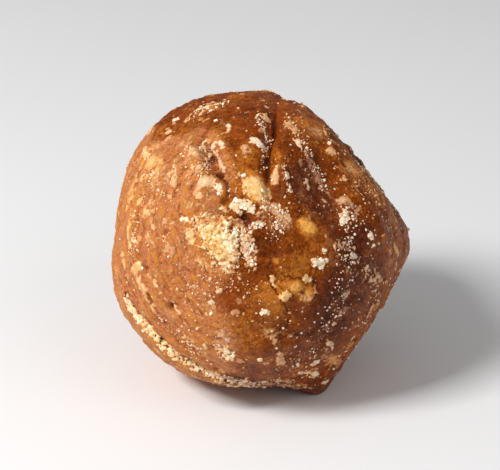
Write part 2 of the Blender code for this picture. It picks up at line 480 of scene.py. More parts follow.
class Skin:
    """The surface of a piece as arrays, for sculpting and painting it."""

    def __init__(self, piece: bpy.types.Object) -> None:
        """Reads the piece's mesh."""
        self.piece = piece
        self.mesh = piece.data
        self.read()

    def read(self) -> None:
        """Reads points, normals and edges again, after the mesh has changed."""
        count = len(self.mesh.vertices)
        points = np.empty(count * 3)
        self.mesh.vertices.foreach_get("co", points)
        self.points = points.reshape(-1, 3)
        normals = np.empty(count * 3)
        self.mesh.vertex_normals.foreach_get("vector", normals)
        self.normals = normals.reshape(-1, 3)
        edges = np.empty(len(self.mesh.edges) * 2, dtype=np.int64)
        self.mesh.edges.foreach_get("vertices", edges)
        self.edges = edges.reshape(-1, 2)
        self.tree = BVHTree.FromPolygons(
            [tuple(p) for p in self.points], [tuple(f.vertices) for f in self.mesh.polygons])

    def move(self, points: np.ndarray) -> None:
        """Puts the points somewhere else."""
        self.mesh.vertices.foreach_set("co", points.ravel())
        self.mesh.update()
        self.read()

    def push(self, heights: np.ndarray) -> None:
        """Moves every point out along its normal by its height in millimetres."""
        self.move(self.points + self.normals * (heights * MM)[:, None])

    def blur(self, values: np.ndarray, rounds: int) -> np.ndarray:
        """Averages values with their neighbours' along the edges.

        Args:
            values: a number, or a row of numbers, for each point.
            rounds: how many times to average.

        Returns:
            The averaged values.
        """
        first, second = self.edges.T
        count = np.bincount(self.edges.ravel(), minlength=len(values))
        columns = np.atleast_2d(values.T)
        for _ in range(rounds):
            columns = np.array([
                (np.bincount(first, column[second], len(column))
                 + np.bincount(second, column[first], len(column))) / count * 0.6 + column * 0.4
                for column in columns])
        return columns.T if values.ndim > 1 else columns[0]

    def sunk(self, rounds: int) -> np.ndarray:
        """How deep each point lies below its surroundings, in millimetres. More rounds look wider."""
        return ((self.blur(self.points, rounds) - self.points) * self.normals).sum(axis=1) / MM

    def nearest(self, chain: np.ndarray) -> tuple[np.ndarray, np.ndarray, np.ndarray]:
        """Measures every point against a chain of points laid on the surface.

        Args:
            chain: the points of the chain in metres, in order.

        Returns:
            For each point of the surface: the distance to the chain in millimetres, the same with a
            plus sign on the left of its direction and a minus on the right, and the share of its length.
        """
        away = np.full(len(self.points), np.inf)
        index = np.zeros(len(self.points), dtype=int)
        for number, link in enumerate(chain):
            distance = np.linalg.norm(self.points - link, axis=1)
            closer = distance < away
            away[closer] = distance[closer]
            index[closer] = number
        heading = np.gradient(chain, axis=0)
        heading /= np.linalg.norm(heading, axis=1)[:, None]
        left = np.cross(self.normals, heading[index])
        lateral = ((self.points - chain[index]) * left).sum(axis=1)
        return away / MM, lateral / MM, index / (len(chain) - 1)

    def stroke(self, stroke: Stroke) -> np.ndarray:
        """The heights, in millimetres, that a stroke adds."""
        chain = trace(self.tree, stroke.route, stroke.side)
        away, lateral, share = self.nearest(chain)
        ends = np.sin(np.pi * (0.1 + 0.8 * share))
        width = stroke.half_width
        if stroke.mark is Mark.CREASE:
            form = -bell(away, width) + 0.35 * bell(away - 2.0 * width, width)
        elif stroke.mark is Mark.LEDGE:
            step = rise(lateral, -width, width) - 0.5
            form = step * bell(lateral, width * 5) * (away < width * 14)
            form = form * bell(np.maximum(away - np.abs(lateral), 0), width)
        elif stroke.mark is Mark.RIDGE:
            form = bell(away, width)
        else:
            form = -bell(away, width)
        return stroke.size * form * ends

    def spot(self, spot: Spot) -> np.ndarray:
        """The values that a spot adds."""
        centre = spot.side.value.land(self.tree, spot.place)
        away = np.linalg.norm(self.points - np.array(centre), axis=1) / MM
        return spot.amount * bell(away, spot.reach)

    def paint(self, name: str, values: np.ndarray) -> None:
        """Stores a value at every point for the material to read."""
        layer = self.mesh.attributes.new(name, "FLOAT", "POINT")
        layer.data.foreach_set("value", values.astype(np.float32))

    def painted(self, name: str) -> np.ndarray:
        """The values that were painted under a name."""
        values = np.empty(len(self.points), dtype=np.float32)
        self.mesh.attributes[name].data.foreach_get("value", values)
        return values.astype(float)

    def paint_vector(self, name: str, values: np.ndarray) -> None:
        """Stores a vector at every point for the material to read."""
        layer = self.mesh.attributes.new(name, "FLOAT_VECTOR", "POINT")
        layer.data.foreach_set("vector", values.astype(np.float32).ravel())


# ---------------------------------------------------------------------------------------------------
# Shaders
# ---------------------------------------------------------------------------------------------------


class Value:
    """A number that varies over a surface. Arithmetic on it adds Math nodes."""

    def __init__(self, graph: Graph, socket: bpy.types.NodeSocket) -> None:
        """Wraps an output socket."""
        self.graph = graph
        self.socket = socket

    def _math(self, operation: str, *operands: Value | float) -> Value:
        """Adds a Math node that works on the operands."""
        node = self.graph.node("ShaderNodeMath", {"operation": operation}, dict(enumerate(operands)))
        return Value(self.graph, node.outputs[0])

    def __add__(self, other: Value | float) -> Value:
        """self + other."""
        return self._math("ADD", self, other)

    __radd__ = __add__

    def __sub__(self, other: Value | float) -> Value:
        """self - other."""
        return self._math("SUBTRACT", self, other)

    def __rsub__(self, other: Value | float) -> Value:
        """other - self."""
        return self._math("SUBTRACT", other, self)

    def __mul__(self, other: Value | float) -> Value:
        """self * other."""
        return self._math("MULTIPLY", self, other)

    __rmul__ = __mul__

    def __abs__(self) -> Value:
        """The value without its sign."""
        return self._math("ABSOLUTE", self)

    def at_least(self, floor: Value | float) -> Value:
        """The larger of this and a floor."""
        return self._math("MAXIMUM", self, floor)

    def at_most(self, ceiling: Value | float) -> Value:
        """The smaller of this and a ceiling."""
        return self._math("MINIMUM", self, ceiling)

    def rise(self, low: float, high: float) -> Value:
        """0 below low and 1 above high, with a smooth rise between. A low above high falls instead."""
        node = self.graph.node(
            "ShaderNodeMapRange", {"interpolation_type": "SMOOTHSTEP"},
            {"Value": self, "From Min": low, "From Max": high})
        return Value(self.graph, node.outputs[0])


class Graph:
    """The node tree of a new material, with its Principled shader."""

    def __init__(self, name: str) -> None:
        """Starts a material."""
        self.material = bpy.data.materials.new(name)
        self.material.use_nodes = True
        self.tree = self.material.node_tree
        self.shader = self.tree.nodes["Principled BSDF"]
        place = self.node("ShaderNodeTexCoord").outputs["Object"]
        scaled = self.node("ShaderNodeVectorMath", {"operation": "SCALE"}, {0: place, "Scale": 1 / MM})
        self.place = scaled.outputs[0]

    def node(self, kind: str, settings: dict | None = None, inputs: dict | None = None) -> bpy.types.Node:
        """Adds a node.

        Args:
            kind: its type, such as "ShaderNodeMath".
            settings: its own properties. "stops" is the list of a ramp's (position, colour).
            inputs: its sockets by name or number, each with a Value, a socket to link, or a constant.

        Returns:
            The new node.
        """
        made = self.tree.nodes.new(kind)
        for name, value in (settings or {}).items():
            if name == "stops":
                self._set_stops(made.color_ramp, value)
            else:
                setattr(made, name, value)
        for key, value in (inputs or {}).items():
            self.feed(made.inputs[key], value)
        return made

    def feed(self, socket: bpy.types.NodeSocket, value: object) -> None:
        """Links a Value or a socket to an input, or sets the input's constant."""
        source = value.socket if isinstance(value, Value) else value
        if isinstance(source, bpy.types.NodeSocket):
            self.tree.links.new(source, socket)
        else:
            socket.default_value = source

    @staticmethod
    def _set_stops(ramp: bpy.types.ColorRamp, stops: list[tuple[float, Colour]]) -> None:
        """Gives a ramp its stops."""
        while len(ramp.elements) < len(stops):
            ramp.elements.new(1.0)
        for element, (position, colour) in zip(ramp.elements, stops):
            element.position = position
            element.color = colour

    def noise(self, size: float, detail: float = 2, distortion: float = 0, place: object = None,
              roughness: float = 0.5) -> Value:
        """Smooth noise from 0 to 1 whose largest features are size millimetres wide."""
        node = self.node("ShaderNodeTexNoise", None, {
            "Vector": place or self.place, "Scale": 1 / size, "Detail": detail,
            "Roughness": roughness, "Distortion": distortion})
        return Value(self, node.outputs["Fac"])

    def stretched(self, turn: tuple[float, float, float], sizes: tuple[float, float, float],
                  place: object = None) -> bpy.types.NodeSocket:
        """The place turned by degrees about each axis, and measured along each in units of its own size."""
        return self.node("ShaderNodeMapping", {"vector_type": "TEXTURE"}, {
            "Vector": place or self.place, "Rotation": [math.radians(angle) for angle in turn],
            "Scale": sizes}).outputs[0]

    def painted(self, name: str) -> Value:
        """The value that was painted on the mesh under a name."""
        return Value(self, self.node("ShaderNodeAttribute", {"attribute_name": name}).outputs["Fac"])

    def ramp(self, value: Value, stops: list[tuple[float, Colour]]) -> bpy.types.NodeSocket:
        """A colour read off a ramp."""
        return self.node("ShaderNodeValToRGB", {"stops": stops}, {0: value}).outputs[0]

    def mix(self, share: Value | float, first: object, second: object,
            blend: str = "MIX") -> bpy.types.NodeSocket:
        """The first colour with a share of the second over it."""
        node = self.node("ShaderNodeMix", {"data_type": "RGBA", "blend_type": blend},
                         {0: share, 6: first, 7: second})
        return node.outputs[2]

    def dress(self, **sockets: object) -> bpy.types.Material:
        """Feeds the shader's sockets, with _ for each space in their names, and returns the material."""
        for name, value in sockets.items():
            self.feed(self.shader.inputs[name.replace("_", " ")], value)
        return self.material

    def bump(self, height: Value) -> bpy.types.NodeSocket:
        """A normal bent by a height in millimetres."""
        node = self.node("ShaderNodeBump", None, {"Height": height, "Distance": MM, "Strength": 1.0})
        return node.outputs[0]


@dataclass(frozen=True)
class Toffee:
    """The waxy sugar of the lump: milky on the left, amber in the middle and treacle on the right."""

    milky: tuple[Colour, ...] = (srgb(168, 92, 50), srgb(182, 106, 62), srgb(190, 115, 68), srgb(198, 124, 76),
                                 srgb(214, 148, 98), srgb(232, 182, 132))
    amber: tuple[Colour, ...] = (srgb(88, 30, 0), srgb(128, 56, 4), srgb(144, 68, 8), srgb(186, 108, 34))
    treacle: tuple[Colour, ...] = (srgb(58, 16, 4), srgb(92, 35, 12), srgb(113, 50, 22), srgb(152, 90, 52))
    # golden: the rims of the laps, and the painted highlight on raised ridges
    vein_and_ridge_light: Colour = srgb(212, 134, 42)
    honey: Colour = srgb(212, 130, 48)
    butter: Colour = srgb(248, 178, 86)
    # deeper toffee for stains, also used as painted shade in shallow hollows
    stain_and_shade: Colour = srgb(138, 56, 4)
    # painted shade: the near-black laid into the deepest hollows, the seam's pits, the gaps among the crumbs and
    # the cracks
    deep_shade: Colour = srgb(58, 20, 6)
    cream: Colour = srgb(236, 196, 138)
    tan: Colour = srgb(212, 150, 94)
    sheen: Colour = (1.0, 0.58, 0.30, 1.0)
    milky_steps: tuple[float, ...] = (0.24, 0.38, 0.50, 0.60, 0.70, 0.84)
    steps: tuple[float, ...] = (0.28, 0.46, 0.56, 0.74)

    @staticmethod
    def lapped(graph: Graph, sizes: tuple[float, float], detail: float, distortion: float) -> Value:
        """Noise drawn out along the lump's laps in front, and aslant over the hidden sides.

        Args:
            graph: the material's graph.
            sizes: the width and the length of its largest features, in millimetres.
            detail: how many times finer features are added.
            distortion: how much it is twisted.

        Returns:
            The noise, from 0 to 1.
        """
        width, length = sizes
        flow = graph.node("ShaderNodeAttribute", {"attribute_name": "flow"}).outputs["Vector"]
        front, back = (
            graph.noise(1.0, detail=detail, distortion=distortion, roughness=0.58, place=place)
            for place in (graph.stretched((0, 0, 0), (width, length, length), flow),
                          graph.stretched((25, 0, 35), (width, width, length))))
        behind = graph.painted("behind")
        return front * (1.0 - behind) + back * behind

    def material(self) -> bpy.types.Material:
        """Builds the material of the lump."""
        graph = Graph("toffee_sugar_finish")
        pale = graph.painted("pale") * 0.4
        patch = graph.noise(6.0, detail=4, distortion=0.6)
        mottle = graph.noise(1.7, detail=5, distortion=0.5, roughness=0.6)
        fine = graph.noise(0.5, detail=4, roughness=0.68)
        streak = self.lapped(graph, (1.3, 2.6), detail=5, distortion=1.3)
        lap_fibre = self.lapped(graph, (0.5, 0.62), detail=4, distortion=0.4)
        cross_fibre = graph.noise(1.0, detail=3, distortion=0.6,
                                  place=graph.stretched((0, -52, 0), (1.0, 0.9, 0.5)))
        crossing = graph.painted("hair")
        fibre = lap_fibre * (1.0 - crossing) + cross_fibre * crossing
        detail = ((patch * 0.3 + streak * 0.1 + mottle * 0.28 + fine * 0.18 + fibre * 0.14 - 0.5) * 2.5 + 0.5
                  + pale)
        blotch = self.lapped(graph, (2.8, 4.4), detail=5, distortion=0.8)
        milky = graph.ramp((blotch * 0.46 + mottle * 0.24 + fine * 0.2 + fibre * 0.1 - 0.5) * 2.2 + 0.5 + pale,
                           list(zip(self.milky_steps, self.milky)))
        amber = graph.ramp(detail, list(zip(self.steps, self.amber)))
        treacle = graph.ramp(detail, list(zip(self.steps, self.treacle)))
        warm = (graph.painted("amber") + (patch - 0.5) * 0.6 + (streak - 0.5) * 0.7).rise(0.3, 0.7)
        colour = graph.mix(warm, milky, amber)
        rim = graph.painted("rims") * streak.rise(0.46, 0.60) * 0.45
        colour = graph.mix(rim * graph.painted("milky"), colour, self.vein_and_ridge_light)
        dark = (graph.painted("dark") + (patch - 0.5) * 0.5 + (mottle - 0.5) * 0.5).rise(0.28, 0.72)
        colour = graph.mix(dark, colour, treacle)
        # stains of deeper toffee; several of the painted spots sit in dents and creases, where they are painted
        # shade
        stain_and_shade = (graph.painted("stain_and_shade") + (patch - 0.5) * 0.5 + (mottle - 0.5) * 0.4).rise(0.15, 0.9)
        colour = graph.mix(stain_and_shade * 0.75, colour, self.stain_and_shade)
        honey = graph.painted("honey") + (mottle - 0.5) * 0.9
        colour = graph.mix(honey.rise(0.30, 0.62) * 0.85, colour, self.honey)
        colour = graph.mix((honey + (fine - 0.5) * 0.5).rise(0.6, 1.0) * 0.9, colour, self.butter)
        # painted light and shade of the fine relief: the colour is lightened and darkened by the same fibres and
        # grain that raise the bump
        shade = 0.2 + fibre * 0.52 + fine * 1.1
        colour = graph.node("ShaderNodeVectorMath", {"operation": "SCALE"}, {0: colour, "Scale": shade}).outputs[0]
        # painted light and shade from how sunk the skin is: lighter on raised ridges, darker in hollows, darkest in
        # the deepest
        sunk = graph.painted("sunk")
        # painted highlight: raised ridges on the milky side are lightened to golden
        colour = graph.mix(sunk.rise(-0.05, -0.25) * graph.painted("milky") * 0.5, colour, self.vein_and_ridge_light)
        # painted shade: shallow hollows are darkened to deeper toffee, less so on the dark side
        colour = graph.mix(sunk.rise(0.03, 0.25) * (1.0 - dark * 0.5) * 0.6, colour, self.stain_and_shade)
        # painted shade: the deepest hollows, pits and gaps are darkened almost to black
        colour = graph.mix(sunk.rise(0.22, 0.6) * 0.85, colour, self.deep_shade)
        film = (graph.painted("film") + (streak - 0.5) * 1.2 + (mottle - 0.5) * 0.9).rise(0.42, 0.52)
        cream = graph.mix(fine.rise(0.42, 0.62), self.tan, self.cream)
        colour = graph.mix(film * (0.35 + fine.rise(0.4, 0.6) * 0.3), colour, cream)
        # painted shade along the cracks: a thin dark line where each split is
        broken = graph.painted("crack") + (mottle - 0.5) * 0.5
        line = abs(broken).rise(0.22, 0.06) * fine.rise(0.25, 0.45)
        colour = graph.mix(line * 0.85, colour, self.deep_shade)
        rough = graph.painted("milky") * 0.6 + 0.4
        height = ((fine * 0.1 + mottle * 0.36 + streak * 0.12) * rough + fibre * (0.2 + crossing * 0.3)
                  + fine * 0.14 + film * 0.14)
        grazing = Value(graph, graph.node("ShaderNodeLayerWeight", None, {"Blend": 0.5}).outputs["Facing"])
        roughness = (0.22 + film * 0.25 + dark * 0.06 - honey.rise(0.5, 0.8) * 0.14 + (mottle - 0.5) * 0.4
                     + grazing.rise(0.5, 1.0) * 0.4)
        return graph.dress(
            Base_Color=colour, Roughness=roughness, Normal=graph.bump(height), Specular_Tint=self.sheen,
            Specular_IOR_Level=0.24,
            Subsurface_Weight=0.12, Subsurface_Radius=(1.0, 0.4, 0.12), Subsurface_Scale=1.0 * MM)


@dataclass(frozen=True)
class Sugar:
    """Dry sugar, from amber through cream to white by its own tint."""

    name: str
    peach: tuple[Colour, ...] = (srgb(150, 76, 28), srgb(204, 136, 82), srgb(238, 190, 134), srgb(255, 242, 218))
    golden: tuple[Colour, ...] = (srgb(200, 114, 34), srgb(232, 162, 76), srgb(252, 208, 130), srgb(255, 246, 220))
    ashen: tuple[Colour, ...] = (srgb(116, 60, 38), srgb(176, 122, 92), srgb(222, 182, 148), srgb(252, 230, 206))
    steps: tuple[float, ...] = (0.0, 0.3, 0.62, 1.0)
    roughness: float = 0.5

    def material(self) -> bpy.types.Material:
        """Builds the material of the sugar."""
        graph = Graph(self.name)
        speck = graph.noise(0.3, detail=3, roughness=0.6)
        tint = graph.painted("tint") + (speck - 0.5) * 0.7
        peach, golden, ashen = (graph.ramp(tint, list(zip(self.steps, colours)))
                                for colours in (self.peach, self.golden, self.ashen))
        colour = graph.mix(graph.painted("gold"), peach, golden)
        return graph.dress(
            Base_Color=graph.mix(graph.painted("ash"), colour, ashen),
            Roughness=self.roughness + (speck - 0.5) * 0.4,
            Normal=graph.bump(speck * 0.08))


# ---------------------------------------------------------------------------------------------------
# The lump
# ---------------------------------------------------------------------------------------------------


@dataclass
class LumpBody:
    """The toffee body of the lump, which stands for its solid.

    Attributes:
        cuts: the rounds of cuts that divide the starting cube.
        front_bias: how much finer its quads are on the showing side.
        start_radius: of the ball that is drawn onto the solid, in metres.
    """

    cuts: tuple[int, ...] = (2, 2, 6, 1)
    front_bias: float = 0.18
    start_radius: float = 45 * MM
    finish: Toffee = Toffee()
    skin: Skin = field(init=False)
    rims: np.ndarray = field(init=False)

    def ball(self) -> bpy.types.Object:
        """Blows a divided cube up into a ball.

        Returns:
            The ball, centred on the middle of the lump.
        """
        bpy.ops.object.select_all(action="DESELECT")
        bpy.ops.mesh.primitive_cube_add(size=2)
        ball = bpy.context.active_object
        ball.name = "toffee_lump"
        bpy.ops.object.mode_set(mode="EDIT")
        bpy.ops.mesh.select_all(action="SELECT")
        for cuts in self.cuts:
            bpy.ops.mesh.subdivide(number_cuts=cuts)
        bpy.ops.object.mode_set(mode="OBJECT")
        skin = Skin(ball)
        ways = np.tan(skin.points * math.pi / 4)
        ways /= np.linalg.norm(ways, axis=1)[:, None]
        ways += self.front_bias * np.array(Side.FRONT.value.towards)
        ways /= np.linalg.norm(ways, axis=1)[:, None]
        skin.move(ways * self.start_radius + np.array(Side.FRONT.value.middle))
        return ball

    def build(self) -> bpy.types.Object:
        """Models the body.

        Returns:
            The finished piece.
        """
        piece = self.ball()
        piece.data.polygons.foreach_set("use_smooth", [True] * len(piece.data.polygons))
        finish_modifier(
            piece, "SHRINKWRAP", target=bpy.data.objects[NODE], wrap_method="PROJECT",
            use_negative_direction=True, use_positive_direction=False)
        finish_modifier(piece, "SMOOTH", factor=0.5, iterations=14)
        self.skin = Skin(piece)
        self.sculpt()
        self.paint()
        piece.data.materials.clear()
        piece.data.materials.append(self.finish.material())
        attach(piece, BODY)
        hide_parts(NODE)
        return piece

    def sculpt(self) -> None:
        """Presses the folds, dents and unevenness into the body."""
        skin = self.skin
        skin.push(sum(skin.spot(dent) for dent in DENTS))
        skin.push(sum(skin.stroke(stroke) for stroke in STROKES))
        uneven = 0.50 * rumple(skin.points, 9, 2, seed=1) + 0.26 * rumple(skin.points, 3.2, 3, seed=2)
        along = 0.16 * rumple(self.flow() * (MM, 0.3 * MM, 0.3 * MM), 2.6, 3, seed=6) * (1 - self.behind())
        skin.push(uneven + along * rise(self.front()[1], 8, 16) + 0.6 * self.behind() * rumple(skin.points, 14, 2, seed=24))
        skin.push(self.laps() + 0.3 * sum(skin.stroke(line) for line in GOLD_LINES))
        cracks = sum(skin.stroke(crack) for crack in CRACKS)
        skin.push(cracks + 0.05 * rumple(skin.points, 0.9, 2, seed=4))
        points = skin.points.copy()
        points[:, 2] = np.maximum(points[:, 2], 0.0)
        skin.move(points)

    def laps(self) -> np.ndarray:
        """Raises overlapping plates with crisp edges, most on the milky left.

        Returns:
            Their heights in millimetres. The edges themselves are kept in rims, from 0 to 1.
        """
        skin = self.skin
        across = Side.FRONT.value.places(skin.points)[0]
        hidden = self.behind()
        long_field = 3.0 * ((1 - hidden) * rumple(self.flow() * (MM, 0.4 * MM, 0.4 * MM), 7, 3, seed=21)
                            + hidden * rumple(skin.points, 8, 3, seed=23))
        short_field = 2.4 * rumple(skin.points, 5, 3, seed=22)
        heights = np.zeros(len(skin.points))
        self.rims = np.zeros(len(skin.points))
        for field, size in ((long_field, 0.34), (short_field, 0.26)):
            share = field - np.floor(field)
            heights += size * (rise(share, 0.0, 0.16) - share)
            self.rims = np.maximum(self.rims, bell(share - 0.2, 0.09))
        return heights * (0.35 + 0.65 * (1 - rise(across, -14, 4)))

    def behind(self) -> np.ndarray:
        """0 on the showing side, 1 on the hidden sides, with a wide blend between."""
        depth = Side.FRONT.value.places(self.skin.points)[2]
        return rise(-depth, 0.0, 14 * MM)

    def front(self) -> tuple[np.ndarray, np.ndarray]:
        """The bearing of each point round the front's middle, in radians, and its distance in millimetres."""
        front = Side.FRONT.value
        local = self.skin.points - np.array(front.middle)
        local /= np.linalg.norm(local, axis=1)[:, None]
        across, up = local @ np.array(front.right), local @ np.array(front.up)
        return np.arctan2(up, across), np.arccos(np.clip(local @ np.array(front.towards), -1, 1)) * 33

    def flow(self) -> np.ndarray:
        """Places that stretch along circles round the front's middle, for streaks that follow the outline."""
        bearing, distance = self.front()
        return np.stack((distance, 15 * np.cos(bearing), 15 * np.sin(bearing)), axis=1)

    def paint(self) -> None:
        """Paints the masks that the finish reads."""
        skin = self.skin
        across, up, _ = Side.FRONT.value.places(skin.points)
        wander = rumple(skin.points, 12, 2, seed=5)
        bearing, distance = self.front()
        hidden = self.behind()
        breadth, _, height = skin.points.T / MM
        skin.paint("behind", hidden)
        milky = 1 - rise(across + 4 * wander + 0.12 * up, -17, 0)
        milky *= 1 - rise(up + 3 * wander, 22, 29)
        wide = rumple(skin.points, 16, 2, seed=15)
        behind = (1 - rise(breadth + 13 * wide, -30, 18)) * (1 - rise(height + 8 * wander, 44, 66))
        milky += sum(skin.spot(spot) for spot in (
            Spot((12.5, 26.5), 4.5, 0.45), Spot((20.8, 17.4), 4.0, 0.5), Spot((26.4, 12.5), 4.0, 0.5)))
        milky += (behind - milky) * hidden
        dark = sum(skin.spot(spot) for spot in DARKS_AND_UNDER_SHADE)
        dark += (rise(breadth + 16 * wide, -4, 34) * 0.9 - dark) * hidden
        # painted shade: the front darkens towards its bottom edge, above the floor
        dark += 0.5 * rise(-up + 2 * wander, 28, 34) * (1 - hidden)
        skin.paint("milky", np.clip(milky, 0, 1))
        skin.paint("amber", np.clip(1 - milky, 0, 1))
        skin.paint("dark", np.clip(dark, 0, 1))
        skin.paint("ash", np.clip(0.9 * dark + sum(skin.spot(spot) for spot in (
            Spot((-10, 20), 4.0, 0.5), Spot((-3, -2), 3.0, 0.5), Spot((2.5, 6), 3.5, 0.4),
            Spot((-8.5, -23), 3.0, 0.4))), 0, 1))
        skin.paint("gold", np.clip(sum(skin.spot(spot) for spot in (
            Spot((-11, 0), 5.5, 1.0), Spot((-0.7, 12.4), 3.5, 1.0), Spot((8, -11), 4.5, 1.0),
            Spot((-31, -3), 6.0, 0.7), Spot((-30, 9), 6.0, 0.7), Spot((-26, 19), 5.0, 0.6),
            Spot((-24, -24), 8.0, 0.8), Spot((-8, -27.5), 2.5, 0.7), Spot((16.5, -28.5), 3.0, 0.9), Spot((31, 2), 4.0, 0.8),
            Spot((-10, -32), 7.0, 0.7))), 0, 1))
        # deeper toffee in stains; the spots in dents and creases are painted shade
        skin.paint("stain_and_shade", sum(skin.spot(spot) for spot in (
            Spot((-8.5, -13.5), 4.5, 0.9), Spot((-2.5, -7), 4.0, 0.5), Spot((-4, 27), 7.0, 0.6),
            Spot((-20, 29.5), 3.0, 0.8), Spot((-9.5, 15), 2.0, 0.7), Spot((2, 26), 2.5, 0.8),
            Spot((-21.5, -15.5), 1.8, 0.8), Spot((-1, 4), 2.5, 0.8), Spot((5, 30), 6.0, 0.4),
            Spot((-13, 17), 2.0, 0.5), Spot((-5, -30), 6.0, 0.35))))
        skin.paint("hair", rise(skin.spot(Spot((1, -14), 15.0, 1.0)), 0.25, 0.6))
        skin.paint("pale", sum(skin.spot(spot) for spot in (
            Spot((1.6, -12.6), 3.0, 0.7), Spot((3, -15.5), 2.6, 0.5), Spot((0, -21), 5.0, 0.3), Spot((8.4, -6.5), 3.5, 0.35),
            Spot((13, -1.5), 4.0, 0.3), Spot((-3.6, 20), 3.4, 0.5), Spot((-4.2, 15), 2.8, 0.6),
            Spot((9, 30), 5.0, 0.2), Spot((12.5, 26.5), 4.5, 0.3), Spot((20.8, 17.4), 4.5, 0.3),
            Spot((26.4, 11.9), 3.5, 0.25), Spot((-26.4, -3.3), 4.5, -0.35), Spot((-9, -24), 4.0, 0.3), Spot((-3, -8), 3.5, -0.25),
            Spot((-1, -2.6), 3.5, -0.3), Spot((31, 12), 4.0, 0.4), Spot((31, -5), 4.0, 0.4))))
        skin.paint("rims", self.rims)
        skin.paint("honey", sum(skin.spot(spot) for spot in (
            Spot((-0.7, 12.4), 2.9, 1.5), Spot((11.9, 3.2), 1.7, 0.9), Spot((10, 4.4), 1.9, 0.8),
            Spot((3.4, -4.5), 1.4, 0.6), Spot((11, -13), 3.0, 0.4), Spot((-11, 0), 4.5, 0.45),
            Spot((4.5, -11), 2.0, 0.45), Spot((8.2, -10.8), 1.7, 0.95), Spot((10.6, -12.8), 1.8, 0.7), Spot((16.5, 24), 1.6, 0.6),
            Spot((19.5, 18), 1.6, 0.5), Spot((-12, 31.5), 2.5, 0.6), Spot((12, -2), 5.0, 0.3),
            Spot((-3.4, 20), 3.0, 0.3), Spot((-4, 15.5), 3.0, 0.36), Spot((30, 3), 1.5, 0.5)))
            + sum(skin.stroke(line) for line in GOLD_LINES) * rise(rumple(skin.points, 2.5, 2, seed=17), -0.3, 0.2))
        # painted shade: dark pits along the seam and gaps among the crumbs are added to how sunk the skin is, and
        # the finish darkens them
        seam, _, share = skin.nearest(trace(skin.tree, SEAM, Side.FRONT))
        pits = bell(seam, 2.0) * rise(rumple(skin.points, 0.9, 2, seed=9) + 0.5 * share, -0.1, 0.25)
        gaps = sum(skin.spot(spot) for spot in (
            Spot((-4.5, 5.3), 1.2, 0.55), Spot((-15.9, 4.4), 0.8, 0.4), Spot((14.5, -23.7), 0.7, 0.5),
            Spot((-3.4, 1), 1.0, 0.3), Spot((-20.6, -15), 0.7, 0.4), Spot((2.6, -1.6), 0.7, 0.3),
            Spot((1.2, 2.4), 0.8, 0.3), Spot((4.6, -0.6), 0.6, 0.25)))
        skin.paint("sunk", skin.sunk(12) + 0.5 * skin.sunk(60) + 0.7 * pits + gaps)
        skin.paint_vector("flow", self.flow())
        skin.paint("film", self.film(milky))
        crack = np.full(len(skin.points), 9.0)
        for stroke in CRACKS:
            away, lateral, _ = skin.nearest(trace(skin.tree, stroke.route, stroke.side))
            past_end = away - np.abs(lateral) > 0.25
            closer = (away < np.abs(crack)) & ~past_end
            crack[closer] = lateral[closer]
        skin.paint("crack", crack)

    def film(self, milky: np.ndarray) -> np.ndarray:
        """How much of a sugary film lies on the skin, from 0 to 1."""
        skin = self.skin
        clouds = rumple(skin.points, 5, 3, seed=8)
        pale = sum(skin.spot(spot) for spot in (
            Spot((-15.5, 10), 4.5, 0.1), Spot((-25, 15), 4.5, 0.22), Spot((-12, 5), 4.0, 0.2),
            Spot((2, -22), 4.0, 0.2), Spot((-27, 3), 4.0, 0.15), Spot((24, 12), 5.0, 0.2), Spot((22, -4), 6.0, 0.2),
            Spot((-8, -22), 2.5, 0.3)))
        return np.clip(0.12 + 0.10 * milky + 0.30 * clouds + pale, 0, 1)


@dataclass(frozen=True)
class Patch:
    """A patch of sugar that has set on the skin.

    Attributes:
        route: where it lies, a single place or several.
        reach: how far it spreads from its route, in millimetres.
        pile: how high it stands, in millimetres.
        tint: from 0, amber, to 1, white.
        cover: how solid it is: 1 leaves few gaps, and below 0.5 only crumbs of it are left.
        coarse: from 0, a smooth flake, to 1, heaped grains.
        side: the side the route is on.
    """

    route: Route
    reach: float
    pile: float
    tint: float
    cover: float = 0.8
    coarse: float = 0.3
    side: Side = Side.FRONT


